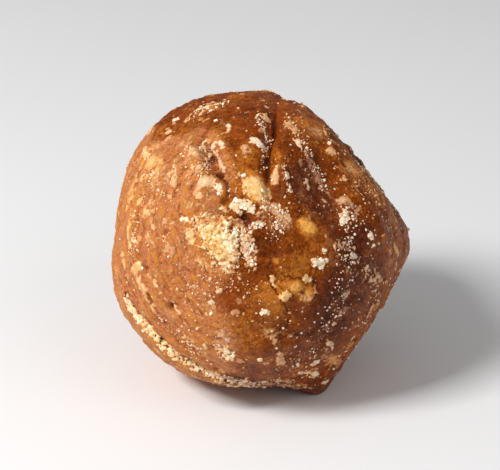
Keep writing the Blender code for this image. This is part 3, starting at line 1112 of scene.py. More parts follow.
PATCHES = (
    # the sugary middle: a golden heap, paler heaps above and right of it, and a dark gap between
    Patch(((-13.5, 3.4), (-11.5, 1), (-9.5, -2), (-8.8, -4.4)), 3.1, 0.9, 0.48, 1.0, 0.9),
    Patch(((-9.5, 3), (-8.2, 0.8), (-7.8, -1.6)), 2.2, 1.2, 0.76, 1.0, 1.0),
    Patch(((-11.6, 4.6), (-9.4, 4.4)), 1.6, 0.8, 0.3, 0.9, 0.8),
    Patch(((-6.6, 8.2), (-5.4, 8.8)), 1.0, 0.7, 0.7, 0.8, 0.2),
    Patch(((-4.2, 9.4), (-3.0, 8.2), (-2.2, 7)), 1.1, 0.8, 0.72, 0.85, 0.2),
    Patch(((-9.6, 8), (-8, 7)), 0.8, 0.4, 0.6, 0.6, 0.8),
    Patch(((-5.6, 7.2), (-4.8, 6.4)), 0.7, 0.6, 0.7, 0.85, 0.7),
    Patch(((-4.6, 3.6), (-3.4, 0), (-2.6, -3), (-2.8, -5.6)), 1.8, 0.6, 0.46, 0.62, 0.9),
    Patch(((-7, 4.6), (-5.8, 3.6)), 1.4, 0.6, 0.35, 0.8, 0.9),
    Patch(((0.8, 9.4), (3, 7.6), (5, 5.6), (6, 4)), 1.8, 0.7, 0.34, 0.72, 0.8),
    Patch(((-0.6, 6.4), (1.4, 4.6)), 1.3, 0.6, 0.3, 0.62, 0.9),
    Patch(((-3.2, 2.6), (-1.4, 4), (0.4, 4.6)), 1.2, 0.55, 0.5, 0.72, 0.9),
    Patch(((-17.5, 2), (-16, 0)), 1.5, 0.5, 0.5, 0.85, 0.6),
    Patch(((-19, 5.4), (-17.6, 4.8)), 0.7, 0.4, 0.85, 0.95, 0.3),
    Patch(((-14.6, -4.6), (-13, -5.6)), 1.5, 0.4, 0.35, 0.8, 0.4),
    Patch(((-9.6, -6.4), (-8, -7)), 0.9, 0.4, 0.6, 0.85, 0.6),
    # upper left
    Patch(((-8.4, 27.9), (-8.0, 26.8), (-8.6, 25.6)), 0.6, 0.3, 0.66, 0.8, 0.2),
    Patch(((-11.9, 22.2), (-11.2, 23.2), (-9.8, 23.4), (-9.2, 22)), 0.65, 0.35, 0.6, 0.85, 0.15),
    Patch(((-11, 21), (-10, 19), (-9, 16.6)), 0.7, 0.35, 0.55, 0.85, 0.15),
    Patch(((-13.2, 24.3), (-14.2, 22.8), (-13.3, 21.3)), 0.4, 0.3, 0.75, 0.85),
    Patch(((-14, 14.6), (-12.6, 14.4), (-12, 13.6)), 1.3, 0.3, 0.5, 0.9, 0.15),
    Patch(((-10.4, 13), (-9.8, 12), (-9.8, 11)), 0.9, 0.4, 0.7, 0.62, 0.9),
    Patch(((-21, 15.5), (-21.2, 13)), 0.8, 0.35, 0.4, 1.0),
    Patch(((-25, 20), (-24, 17), (-26, 15)), 1.3, 0.3, 0.25, 0.8),
    Patch(((-28, 22), (-27.4, 19.5)), 0.9, 0.4, 0.5, 0.9),
    Patch(((-4, 22.3), (-3.6, 21.2)), 1.0, 0.4, 0.35, 1.0),
    Patch(((-1.8, 24), (0, 22.6)), 1.1, 0.5, 0.85, 1.0),
    Patch(((-17.5, 22.5), (-16, 20.5)), 1.4, 0.3, 0.3, 0.8),
    Patch(((-16, 31), (-13, 32.6), (-10, 33.6)), 0.6, 0.25, 0.5, 0.6),
    Patch(((-21, 28.8), (-19.8, 29)), 0.6, 0.3, 0.8, 0.9),
    Patch(((-31, 8), (-31.8, 3), (-31.5, -2)), 0.7, 0.3, 0.34, 0.66),
    Patch(((-33.3, -3), (-32.6, -7)), 0.8, 0.3, 0.35, 0.8),
    Patch(((-28.9, 17.8), (-30.5, 14.3), (-31.5, 10.3), (-32.3, 7.1)), 0.5, 0.3, 0.3, 0.8, 0.2),
    Patch(((-24, 19.3), (-23.3, 15.8), (-24, 11), (-25.6, 9.6)), 0.4, 0.25, 0.32, 0.62, 0.2),
    Patch(((14.5, 27.5), (15.2, 25.6), (16.2, 24.2)), 0.5, 0.3, 0.34, 0.8, 0.2),
    Patch(((27, 11.8), (27.8, 11)), 0.6, 0.3, 0.3, 0.8, 0.2),
    Patch(((-27, 0.5), (-26, -1)), 1.2, 0.3, 0.25, 0.8),
    # round the crease
    Patch(((0.5, 30), (1.5, 28.5)), 1.2, 0.4, 0.45, 0.75),
    Patch(((6, 28), (8, 26.6)), 1.2, 0.35, 0.4, 0.75),
    Patch(((8, 24.4), (9, 22.6)), 0.7, 0.35, 0.7, 0.9),
    Patch(((11, 20), (12.5, 17), (14.5, 12)), 1.2, 0.3, 0.15, 0.65),
    Patch(((10.4, 14.4), (11, 12.6)), 0.9, 0.4, 0.5, 0.75),
    Patch(((5.6, 14.6), (6.8, 11.6)), 0.5, 0.2, 0.4, 0.55),
    Patch(((-1.6, 13.2), (-0.8, 12.4), (0, 11.8)), 2.5, 0.3, 0.42, 1.05, 0.1),
    # the dark side
    Patch(((18.4, 9.6), (20.5, 9.8), (21.8, 8.6)), 0.9, 0.45, 0.3, 1.0),
    Patch(((19.8, 6), (19, 4.2)), 0.9, 0.5, 0.92, 0.95),
    Patch(((22.5, 7.5), (22, 5.5)), 1.0, 0.4, 0.35, 0.8),
    Patch(((25.8, 2), (26, 0.8)), 0.6, 0.35, 0.9, 0.8, 0.6),
    Patch(((18.4, -0.6), (20.5, -1.4)), 1.6, 0.45, 0.42, 0.66, 0.9),
    Patch(((21.5, -3), (22.4, -4.2)), 0.8, 0.4, 0.78, 0.85),
    Patch(((15, -2.2), (15.3, -3)), 0.45, 0.3, 0.8, 0.75, 0.4),
    Patch(((12.4, -4.6), (13, -5)), 0.7, 0.45, 0.7, 0.9, 0.8),
    Patch(((14, -5.6), (14.4, -6.4)), 0.6, 0.45, 0.8, 0.9, 0.8),
    Patch(((15.4, -4.4), (15.6, -5)), 0.5, 0.4, 0.8, 0.9, 0.8),
    Patch(((31.6, -1), (32.6, -3)), 0.9, 0.35, 0.4, 0.8),
    Patch(((26, -9), (27.4, -9.6)), 0.7, 0.35, 0.5, 0.8),
    Patch(((20.5, -12.4), (19.5, -13)), 1.1, 0.3, 0.4, 0.7),
    Patch(((27, -7), (28.5, -9.5)), 1.0, 0.3, 0.35, 0.7),
    Patch(((26.5, -15.5), (28, -15)), 1.0, 0.35, 0.4, 0.75),
    Patch(((16, -24.2), (17, -24.6)), 0.7, 0.4, 0.5, 1.0),
    Patch(((11.9, -29.4), (12.8, -28.6), (13.4, -28.9)), 0.5, 0.4, 0.8, 0.9, 0.4),
    Patch(((9.6, -31.2), (11.4, -31.2), (13, -32.2)), 1.5, 0.45, 0.62, 0.62, 0.9),
    Patch(((14.8, -33.6), (16, -33)), 0.8, 0.5, 0.7, 0.95),
    Patch(((15, -27), (19, -29)), 1.6, 0.25, 0.1, 0.7),
    # the low middle
    Patch(((5, -13.2), (6.4, -12.4)), 1.2, 0.5, 0.5, 0.85, 0.4),
    Patch(((2.3, -8.6), (2.8, -9.8), (3.4, -11)), 0.7, 0.35, 0.5, 0.8, 0.3),
    Patch(((6.6, -10.4), (8.6, -11.4)), 1.0, 0.35, 0.2, 0.52, 0.4),
    Patch(((9.8, -13), (11.6, -13.4)), 1.1, 0.45, 0.4, 0.66, 0.4),
    Patch(((10.6, -8.8), (11.8, -9.2)), 0.9, 0.45, 0.6, 0.85, 0.7),
    Patch(((12.6, -11), (12.9, -12)), 0.8, 0.35, 0.3, 0.8, 0.6),
    Patch(((0.4, -16.6), (1.2, -17.2)), 0.7, 0.3, 0.5, 0.7, 0.6),
    Patch(((-12, -14.8), (-11.4, -15.2)), 0.6, 0.3, 0.5, 0.7, 0.6),
    Patch(((-9.6, -21.6), (-7.8, -24)), 1.6, 0.35, 0.35, 0.75),
    Patch(((-9, -26), (-8, -27), (-7.2, -27.8)), 1.2, 0.4, 0.55, 0.66, 0.8),
    Patch(((-5.5, -28.5), (-4.5, -29)), 0.9, 0.3, 0.25, 0.8),
    Patch(((2.6, -22.6), (3.4, -24)), 0.9, 0.35, 0.4, 0.85),
    Patch(((4.4, -27), (4.6, -29.4)), 1.1, 0.4, 0.4, 0.85),
    Patch(((-20.4, -15.6), (-20, -16.6), (-19.4, -17.4)), 0.6, 0.35, 0.5, 0.8, 0.3),
    Patch(((-13.5, -25), (-13, -26)), 0.7, 0.35, 0.5, 0.9),
    Patch(((-18, -23), (-16, -24)), 0.9, 0.3, 0.3, 0.75),
    Patch(((-25.6, -9.4), (-25, -11)), 0.6, 0.3, 0.5, 0.9),
    # along the overlap
    Patch(SEAM[1:4], 1.6, 0.4, 0.7, 0.74, 0.3),
    Patch(SEAM[3:6], 1.7, 0.4, 0.74, 0.64, 0.35),
    Patch(SEAM[5:], 1.9, 0.4, 0.7, 0.5, 0.5),
    Patch(((-25.6, -25.4), (-20.6, -29.6), (-14, -33), (-7, -35), (0, -35.8)), 0.8, 0.3, 0.4, 0.55, 0.4),
    Patch(((0, -33.6), (5, -34.2), (10, -35)), 0.9, 0.35, 0.25, 0.6, 0.5),
    Patch(((-28.4, -10.5), (-27.2, -14), (-25.5, -16.8), (-23.5, -19)), 0.45, 0.35, 0.45, 1.0),
    Patch(((-24, -12.4), (-22.4, -14.6)), 0.35, 0.25, 0.4, 0.9),
    # the right side
    Patch(((14, 8), (16, 4), (16.6, -1)), 2.2, 0.9, 0.42, 0.85, 0.9, Side.RIGHT),
    Patch(((18.4, 3), (19, 0)), 1.4, 0.7, 0.66, 0.8, 0.8, Side.RIGHT),
    Patch(((2, -2), (3, -6)), 1.3, 0.4, 0.35, 0.8, 0.4, Side.RIGHT),
    Patch(((19, -14), (22, -9)), 1.4, 0.5, 0.4, 0.8, 0.5, Side.RIGHT),
    Patch(((24, 14), (26, 10)), 1.2, 0.35, 0.35, 0.8, 0.2, Side.RIGHT),
    Patch(((13, 21), (15, 20)), 1.1, 0.4, 0.55, 0.8, 0.5, Side.RIGHT),
    Patch(((6, -12), (7.4, -13)), 1.0, 0.4, 0.5, 0.8, 0.5, Side.RIGHT),
    Patch(((10, 4), (11, 3)), 0.8, 0.3, 0.5, 0.8, 0.5, Side.RIGHT),
    Patch(((6, -18.6), (10, -21.4)), 1.2, 0.4, 0.36, 0.75, 0.4, Side.RIGHT),
    Patch(((16, -23.4), (19, -26)), 0.9, 0.4, 0.5, 0.7, 0.6, Side.RIGHT),
    # the back
    Patch(((-6, 12), (-5, 6), (-3, 1)), 2.0, 0.8, 0.42, 0.85, 0.9, Side.BACK),
    Patch(((-9, 9), (-8, 5)), 1.2, 0.6, 0.66, 0.8, 0.8, Side.BACK),
    Patch(((14, 6), (16, 2), (15.6, -3)), 1.8, 0.6, 0.4, 0.8, 0.6, Side.BACK),
    Patch(((-3, 24), (-4.6, 20)), 1.2, 0.4, 0.5, 0.8, 0.4, Side.BACK),
    Patch(((-20, 2), (-19.4, -4)), 1.4, 0.45, 0.34, 0.8, 0.5, Side.BACK),
    Patch(((20, 16), (21.4, 13)), 1.3, 0.35, 0.34, 0.8, 0.2, Side.BACK),
    Patch(((4, -12), (6, -13.4)), 1.2, 0.4, 0.5, 0.8, 0.5, Side.BACK),
    Patch(((-13, -14), (-11.4, -15)), 1.0, 0.4, 0.45, 0.8, 0.4, Side.BACK),
    Patch(((8, 22), (9.4, 20.6)), 0.9, 0.35, 0.5, 0.8, 0.3, Side.BACK),
    Patch(((-22, 14), (-21, 12.4)), 0.9, 0.35, 0.4, 0.8, 0.3, Side.BACK),
    Patch(((27, -9), (22, -15.4), (17, -17)), 1.4, 0.4, 0.45, 0.8, 0.35, Side.BACK),
    Patch(((10, -21), (6, -24.4)), 1.2, 0.35, 0.4, 0.7, 0.5, Side.BACK),
    Patch(((-15, -22.4), (-19, -22.8)), 0.9, 0.35, 0.5, 0.75, 0.5, Side.BACK),
    # the left side
    Patch(((-5, -5), (-9, -3.4), (-13, -5)), 1.3, 0.4, 0.48, 0.8, 0.4, Side.LEFT),
    Patch(((-18, -10), (-21, -13.6)), 1.2, 0.4, 0.4, 0.75, 0.4, Side.LEFT),
    Patch(((-10, 12), (-9, 7), (-7, 3)), 1.7, 0.6, 0.42, 0.8, 0.8, Side.LEFT),
    Patch(((-21, 16), (-19, 13)), 1.2, 0.4, 0.45, 0.8, 0.4, Side.LEFT),
    Patch(((-20, 1), (-18.4, -1)), 1.1, 0.4, 0.5, 0.8, 0.5, Side.LEFT),
    Patch(((-5, 21), (-4, 19)), 1.0, 0.35, 0.5, 0.8, 0.3, Side.LEFT),
    Patch(((-8, -15), (-9.6, -17)), 1.2, 0.35, 0.4, 0.8, 0.3, Side.LEFT),
    Patch(((-2, 8), (-2.4, 5)), 1.0, 0.35, 0.34, 0.8, 0.2, Side.LEFT),
    # behind the top
    Patch(((-0.6, 19), (-3, 22.4)), 1.4, 0.5, 0.5, 0.8, 0.6, Side.TOP),
    Patch(((-14, 18), (-13.4, 21)), 1.3, 0.4, 0.4, 0.8, 0.3, Side.TOP),
    Patch(((13, 18), (14, 21)), 1.2, 0.4, 0.4, 0.8, 0.3, Side.TOP),
    Patch(((6, 26), (7.4, 27)), 0.9, 0.35, 0.5, 0.8, 0.3, Side.TOP),
)


@dataclass(frozen=True)
class Flakes:
    """Small flakes of set sugar strewn along a route, drawn out along the lump's laps.

    Attributes:
        route: where they lie, a single place or several.
        spread: how far they stray from it, in millimetres.
        count: how many.
        reach: their usual radius in millimetres.
        tint: their usual tint, from 0, amber, to 1, white.
        side: the side the route is on.
    """

    route: Route
    spread: float
    count: int
    reach: float
    tint: float
    side: Side = Side.FRONT


FLAKES = (
    Flakes(((-30, 10), (-27, 17), (-21, 22)), 5.0, 18, 0.8, 0.2),
    Flakes(((-30, 8), (-26, 16), (-16, 20)), 6.0, 44, 0.38, 0.4),
    Flakes(((-27, 19), (-29, 10), (-30, 0)), 4.0, 18, 0.55, 0.3),
    Flakes(((-20, 19), (-23, 8), (-25, -4)), 5.0, 12, 0.55, 0.36),
    Flakes(((-14, 23), (-16, 14), (-17, 7)), 3.5, 16, 0.6, 0.38),
    Flakes(((-30, -4), (-28, -11)), 3.0, 12, 0.55, 0.45),
    Flakes(((-16, -6), (-18, -16), (-12, -24)), 5.0, 16, 0.4, 0.5),
    Flakes(((-24, 26), (-16, 30), (-8, 32)), 3.0, 14, 0.4, 0.5),
    Flakes(((22, 18), (27, 10), (31, 2)), 3.5, 8, 0.4, 0.3),
    Flakes(((10, -24), (18, -20), (24, -10)), 5.0, 9, 0.35, 0.25),
    Flakes(((8, 16), (16, 4), (20, -14)), 9.0, 36, 0.5, 0.36, Side.RIGHT),
    Flakes(((-20, 12), (0, 0), (20, -8)), 13.0, 60, 0.55, 0.36, Side.BACK),
    Flakes(((-22, 10), (-10, 4), (-6, -10)), 9.0, 44, 0.55, 0.34, Side.LEFT),
    Flakes(((-10, 22), (2, 24), (14, 22)), 6.0, 24, 0.5, 0.4, Side.TOP),
)


@dataclass
class SugarCrust:
    """The thin ragged crust of sugar that has set on the lump.

    Attributes:
        body: the lump.
        strewn: how many small patches are strewn over all of it.
        cuts: how many times each quad of the lump's skin is cut for the crust.
        most_triangles: how many its outer sheet may have.
        seed: of the random draws.
    """

    body: LumpBody
    strewn: int = 240
    cuts: int = 2
    most_triangles: int = 68000
    seed: int = 3
    skin: Skin = field(init=False)

    def patches(self) -> Iterable[tuple[np.ndarray, Patch]]:
        """Yields the chain of points of each patch, with the patch: first the placed, then the strewn."""
        tree = self.body.skin.tree
        for patch in PATCHES:
            yield trace(tree, patch.route, patch.side), patch
        draws = np.random.default_rng(self.seed)
        middle = Side.FRONT.value.middle
        for _ in range(self.strewn):
            way = Vector(draws.normal(size=3)).normalized()
            yield self.flake(draws, middle + way * 34 * MM, 0.5, float(draws.uniform(0.05, 0.5)))
        for flakes in FLAKES:
            chain = trace(tree, flakes.route, flakes.side)
            for home in chain[draws.integers(len(chain), size=flakes.count)]:
                near = Vector(home + draws.normal(size=3) * flakes.spread * 0.6 * MM)
                yield self.flake(draws, near, flakes.reach, flakes.tint + float(draws.normal(0, 0.1)))

    def flake(self, draws: np.random.Generator, near: Vector, reach: float,
              tint: float) -> tuple[np.ndarray, Patch]:
        """Draws one small flake, longer along the laps than across them.

        Args:
            draws: the random draws.
            near: a point near where it lies.
            reach: its usual radius in millimetres.
            tint: its tint.

        Returns:
            The chain of points of the flake, and the patch.
        """
        tree = self.body.skin.tree
        start, normal, _, _ = tree.find_nearest(near)
        lap = Side.FRONT.value.towards.cross(normal).normalized()
        way = lap * float(draws.normal(0, 1.1)) + Vector(draws.normal(size=3)) * 0.35
        end, _, _, _ = tree.find_nearest(start + way * reach * MM * 1.4)
        size = reach * float(draws.lognormal(0, 0.4))
        cover, coarse = draws.uniform((0.65, 0.0), (1.0, 0.45))
        return np.array((start, (start + end) / 2, end)), Patch((), size, 0.12 + 0.12 * size, tint, cover, coarse)

    def cover(self) -> None:
        """Paints the patches on the lump's skin: where they lie, and their pile, tint and coarseness."""
        skin = self.body.skin
        cover = np.full(len(skin.points), -1.0)
        traits = np.tile((0.3, 0.4, 0.3), (len(skin.points), 1))
        for chain, patch in self.patches():
            span = (np.abs(skin.points - chain.mean(axis=0)).max(axis=1)
                    < np.abs(chain - chain.mean(axis=0)).max() + 2.2 * patch.reach * MM)
            near = np.flatnonzero(span)
            away = np.linalg.norm(skin.points[near][:, None] - chain[None], axis=2).min(axis=1) / MM
            here = patch.cover - (away / patch.reach) ** 2 * 0.55
            better = here > cover[near]
            cover[near[better]] = here[better]
            traits[near[better]] = (patch.pile, patch.tint, patch.coarse)
        skin.paint("cover", cover)
        for name, values in zip(("pile", "tint", "coarse"), skin.blur(traits, 3).T):
            skin.paint(name, values)

    def build(self) -> bpy.types.Object:
        """Lifts the crust off a copy of the lump's skin.

        Returns:
            The finished piece.
        """
        self.cover()
        source = self.body.skin.piece
        piece = bpy.data.objects.new("sugar_crust", source.data.copy())
        bpy.context.scene.collection.objects.link(piece)
        self.keep(piece, "cover", -0.25)
        only(piece)
        bpy.ops.object.mode_set(mode="EDIT")
        bpy.ops.mesh.select_all(action="SELECT")
        bpy.ops.mesh.subdivide(number_cuts=self.cuts)
        bpy.ops.object.mode_set(mode="OBJECT")
        self.skin = Skin(piece)
        self.raise_crust()
        self.keep(piece, "lift", -0.05)
        triangles = len(piece.data.loops) - 2 * len(piece.data.polygons)
        finish_modifier(piece, "DECIMATE", ratio=min(1.0, self.most_triangles / triangles))
        finish_modifier(piece, "SOLIDIFY", thickness=0.12 * MM, offset=-1.0)
        piece.data.materials.clear()
        piece.data.materials.append(Sugar("sugar_crust_finish", roughness=0.55).material())
        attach(piece, BODY)
        return piece

    def raise_crust(self) -> None:
        """Piles the crust up where it lies and sinks it out of sight elsewhere."""
        skin = self.skin
        coarse = self.skin.painted("coarse")
        big, big_own = granules(skin.points, 0.95)
        small, small_own = granules(skin.points, 0.42)
        ragged = (0.45 * rumple(skin.points, 1.8, 3, seed=11) + 0.5 * rumple(skin.points, 0.7, 3, seed=12)
                  + 0.40 * coarse * (big_own - 0.5) + 0.30 * (small_own - 0.5))
        solid = self.skin.painted("cover") - 0.42 + ragged
        heap = (0.38 * big * (0.3 + 0.7 * big_own) + 0.3 * small * (0.3 + 0.7 * small_own) + 0.12
                + 0.3 * rumple(skin.points, 1.4, 3, seed=14))
        flake = 0.5 + 0.45 * rumple(skin.points, 1.3, 4, seed=13) + 0.22 * (small - 0.5)
        lumps = coarse * heap + (1 - coarse) * flake
        height = self.skin.painted("pile") * (0.6 + 0.4 * coarse) * (0.15 + np.clip(lumps, 0, 1.3)) * rise(solid, 0.0, 0.12 + 0.25 * coarse)
        skin.push(np.where(solid > 0, height, -0.15 * rise(-solid, 0.0, 0.15)) + 0.02)
        points = skin.points.copy()
        points[:, 2] = np.maximum(points[:, 2], FLOOR_GAP)
        skin.move(points)
        skin.paint("lift", solid)
        # painted light and shade in the crust: its tint rises with the heap's height, so tops are paler and the
        # hollows between grains darker amber
        tint = self.skin.painted("tint") + (0.4 + 0.6 * coarse) * (lumps - 0.42) + (0.1 + 0.5 * coarse) * (small_own - 0.5)
        edge = (1 - coarse) * bell(solid - 0.1, 0.09)
        self.write("tint", np.clip(tint - 0.22 + 0.3 * rise(solid, 0.0, 0.45) + 0.25 * edge, 0, 1))

    def write(self, name: str, values: np.ndarray) -> None:
        """Paints over the values under a name."""
        self.skin.mesh.attributes[name].data.foreach_set("value", values.astype(np.float32))

    def keep(self, piece: bpy.types.Object, name: str, least: float) -> None:
        """Deletes the faces all of whose corners are painted below a value."""
        mesh = piece.data
        values = np.empty(len(mesh.vertices), dtype=np.float32)
        mesh.attributes[name].data.foreach_get("value", values)
        corners = np.empty(len(mesh.loops), dtype=np.int64)
        mesh.loops.foreach_get("vertex_index", corners)
        sides = np.empty(len(mesh.polygons), dtype=np.int64)
        mesh.polygons.foreach_get("loop_start", sides)
        highest = np.maximum.reduceat(values[corners], sides)
        only(piece)
        bpy.ops.object.mode_set(mode="EDIT")
        bpy.ops.mesh.select_mode(type="FACE")
        bpy.ops.mesh.select_all(action="DESELECT")
        bpy.ops.object.mode_set(mode="OBJECT")
        mesh.polygons.foreach_set("select", highest < least)
        bpy.ops.object.mode_set(mode="EDIT")
        bpy.ops.mesh.delete(type="FACE")
        bpy.ops.mesh.select_mode(type="VERT")
        bpy.ops.object.mode_set(mode="OBJECT")


class Grain(Enum):
    """The kinds of loose sugar."""

    DUST = "sugar_dust"
    CRUMB = "sugar_crumbs"
    CRYSTAL = "sugar_crystals"


@dataclass(frozen=True)
class Drift:
    """Loose sugar gathered along a route.

    Attributes:
        grain: its kind.
        route: where it lies, a single place or several.
        reach: how far it spreads from the route, in millimetres.
        count: how many grains.
        size: their usual width in millimetres.
        tint: their usual tint, from 0, amber, to 1, white.
        side: the side the route is on.
    """

    grain: Grain
    route: Route
    reach: float
    count: int
    size: float
    tint: float
    side: Side = Side.FRONT


DRIFTS = (
    Drift(Grain.CRUMB, ((-13.5, 3.4), (-10.5, 0), (-8.6, -4)), 3.8, 130, 0.42, 0.6),
    Drift(Grain.CRUMB, ((-8.6, 1), (-7.8, -2)), 1.8, 60, 0.5, 0.85),
    Drift(Grain.DUST, ((-13.5, 3.4), (-11.5, 1), (-9.5, -2), (-8.8, -4.4)), 3.4, 420, 0.26, 0.85),
    Drift(Grain.CRYSTAL, ((-12, 2.5), (-9, 0), (-8, -3)), 3.4, 190, 0.3, 0.95),
    Drift(Grain.DUST, ((-14, 3), (-9, 0), (-8, -5)), 5.0, 260, 0.28, 0.75),
    Drift(Grain.CRUMB, ((-6.4, 9), (-2, 8.4)), 1.5, 80, 0.45, 0.85),
    Drift(Grain.CRUMB, ((-4.4, 2), (-2.6, -5)), 1.4, 90, 0.42, 0.65),
    Drift(Grain.CRYSTAL, ((-4, 3), (-2.4, -6)), 1.8, 60, 0.36, 0.9),
    Drift(Grain.CRUMB, ((0.8, 9.4), (3.6, 7), (6, 4)), 2.0, 110, 0.42, 0.5),
    Drift(Grain.CRYSTAL, ((1, 9), (4, 5), (2, 2)), 2.6, 70, 0.36, 0.9),
    Drift(Grain.DUST, ((1, 9), (5, 4), (2, 1)), 3.6, 120, 0.26, 0.65),
    Drift(Grain.CRYSTAL, ((-1.6, 13.6), (0.4, 11.6)), 2.6, 44, 0.28, 0.85),
    Drift(Grain.DUST, ((-18, 22), (-14, 18), (-12, 24)), 4.5, 170, 0.34, 0.75),
    Drift(Grain.DUST, ((-26, 18), (-24, 12)), 4.5, 100, 0.32, 0.65),
    Drift(Grain.DUST, ((-30, 6), (-31, -4)), 2.5, 150, 0.3, 0.6),
    Drift(Grain.DUST, ((-16, 31), (-9, 33)), 2.5, 130, 0.32, 0.75),
    Drift(Grain.DUST, ((-1, 30), (1, 24), (0, 18)), 2.0, 130, 0.33, 0.8),
    Drift(Grain.DUST, ((6, 29), (9, 24), (12, 18), (15, 12)), 2.6, 180, 0.32, 0.65),
    Drift(Grain.DUST, ((5, 18), (7, 12)), 1.4, 80, 0.33, 0.7),
    Drift(Grain.DUST, ((20, 9), (21, 5), (20, -2), (22, -5)), 3.5, 150, 0.34, 0.85),
    Drift(Grain.CRUMB, ((19.8, 6.5), (19, 4)), 1.4, 36, 0.45, 0.8),
    Drift(Grain.CRYSTAL, ((12.6, -4.6), (14.4, -5.6)), 1.4, 44, 0.55, 1.0),
    Drift(Grain.DUST, ((18, -6), (20, -14), (15, -22)), 8.0, 60, 0.3, 0.8),
    Drift(Grain.DUST, ((26, -8), (27, -15), (23, -20)), 3.5, 100, 0.28, 0.75),
    Drift(Grain.DUST, ((31, 2), (28, 8), (24, 15)), 4.0, 100, 0.26, 0.5),
    Drift(Grain.DUST, ((14, -25), (9, -29), (3, -28)), 5.0, 100, 0.3, 0.6),
    Drift(Grain.DUST, ((-10, -25), (-8, -28)), 2.6, 120, 0.34, 0.75),
    Drift(Grain.DUST, ((-16, -14), (-8, -8), (0, -16)), 6.0, 130, 0.32, 0.6),
    Drift(Grain.DUST, ((-20, -22), (-14, -27)), 4.0, 160, 0.32, 0.6),
    Drift(Grain.CRYSTAL, ((-12, -14.8), (-11.4, -15.2)), 1.0, 16, 0.46, 0.85),
    Drift(Grain.CRYSTAL, ((0.4, -16.6), (1.4, -17.2)), 1.2, 20, 0.46, 0.85),
    Drift(Grain.CRYSTAL, ((25.8, 2), (26, 0.8)), 0.9, 14, 0.5, 0.9),
    Drift(Grain.CRYSTAL, ((15, -2.2), (15.3, -3)), 0.7, 10, 0.46, 1.0),
    Drift(Grain.CRYSTAL, ((-8.8, -26), (-7.2, -27.8)), 1.8, 46, 0.42, 0.85),
    Drift(Grain.CRYSTAL, ((12.4, -29), (13.6, -28.2)), 1.2, 18, 0.42, 0.9),
    Drift(Grain.CRYSTAL, ((-6, 2.4), (-7.6, -2.8)), 1.6, 70, 0.4, 0.97),
    Drift(Grain.CRYSTAL, ((-10.4, 13), (-9.8, 11)), 1.2, 36, 0.4, 0.85),
    Drift(Grain.CRYSTAL, ((-3, 2.8), (0.2, 4.6)), 1.3, 36, 0.38, 0.9),
    Drift(Grain.CRYSTAL, ((-14, 22.6), (-13.3, 21)), 1.2, 18, 0.36, 0.8),
    Drift(Grain.CRUMB, SEAM, 1.1, 110, 0.36, 0.6),
    Drift(Grain.DUST, SEAM, 1.8, 220, 0.28, 0.7),
    Drift(Grain.DUST, ((-2, -34), (4, -33), (12, -35)), 1.5, 200, 0.3, 0.6),
    Drift(Grain.DUST, ((-25, 12), (-22, -6), (-12, -18)), 7.0, 150, 0.29, 0.6),
    Drift(Grain.DUST, ((22, 10), (22, -8), (10, -26)), 8.0, 150, 0.3, 0.85),
    Drift(Grain.CRUMB, ((14, 8), (16, 3), (16.4, -1)), 3.0, 120, 0.42, 0.6, Side.RIGHT),
    Drift(Grain.CRYSTAL, ((15, 8), (18, 2), (17, -2)), 3.2, 110, 0.36, 0.9, Side.RIGHT),
    Drift(Grain.DUST, ((8, 24), (15, 8), (15, -6)), 4.5, 240, 0.3, 0.65, Side.RIGHT),
    Drift(Grain.DUST, ((16, -22), (23, -8), (26, 4)), 4.0, 180, 0.3, 0.6, Side.RIGHT),
    Drift(Grain.CRUMB, ((-6, 12), (-5, 6), (-3, 1)), 2.8, 110, 0.42, 0.6, Side.BACK),
    Drift(Grain.CRYSTAL, ((-6, 11), (-7, 6), (-3, 0)), 3.0, 110, 0.36, 0.9, Side.BACK),
    Drift(Grain.CRYSTAL, ((14, 6), (16, 0)), 2.6, 60, 0.36, 0.85, Side.BACK),
    Drift(Grain.DUST, ((-5, 26), (-6, 10), (3, -8)), 4.5, 260, 0.3, 0.65, Side.BACK),
    Drift(Grain.DUST, ((12, 18), (16, 4), (20, -9)), 4.5, 240, 0.3, 0.6, Side.BACK),
    Drift(Grain.DUST, ((-26, 12), (-20, 0), (-16, -14)), 4.5, 180, 0.3, 0.6, Side.BACK),
    Drift(Grain.DUST, ((28, -7), (14, -18), (-4, -26)), 2.0, 200, 0.3, 0.6, Side.BACK),
    Drift(Grain.CRYSTAL, ((-10, 12), (-9, 7), (-7, 2)), 2.6, 80, 0.36, 0.85, Side.LEFT),
    Drift(Grain.DUST, ((-12, 24), (-9, 10), (-6, 0)), 4.0, 220, 0.3, 0.65, Side.LEFT),
    Drift(Grain.DUST, ((-24, 12), (-18, 0), (-10, -18)), 5.0, 200, 0.3, 0.6, Side.LEFT),
    Drift(Grain.DUST, ((-4, -6), (-14, -6), (-26, -15)), 1.8, 160, 0.3, 0.6, Side.LEFT),
    Drift(Grain.DUST, ((2, 16), (-1, 20), (-5, 28)), 3.0, 180, 0.3, 0.65, Side.TOP),
    Drift(Grain.CRYSTAL, ((-0.6, 19), (-3, 22.4)), 2.2, 50, 0.36, 0.85, Side.TOP),
    Drift(Grain.DUST, ((-15, 20), (0, 24), (14, 20)), 5.0, 180, 0.3, 0.6, Side.TOP),
)


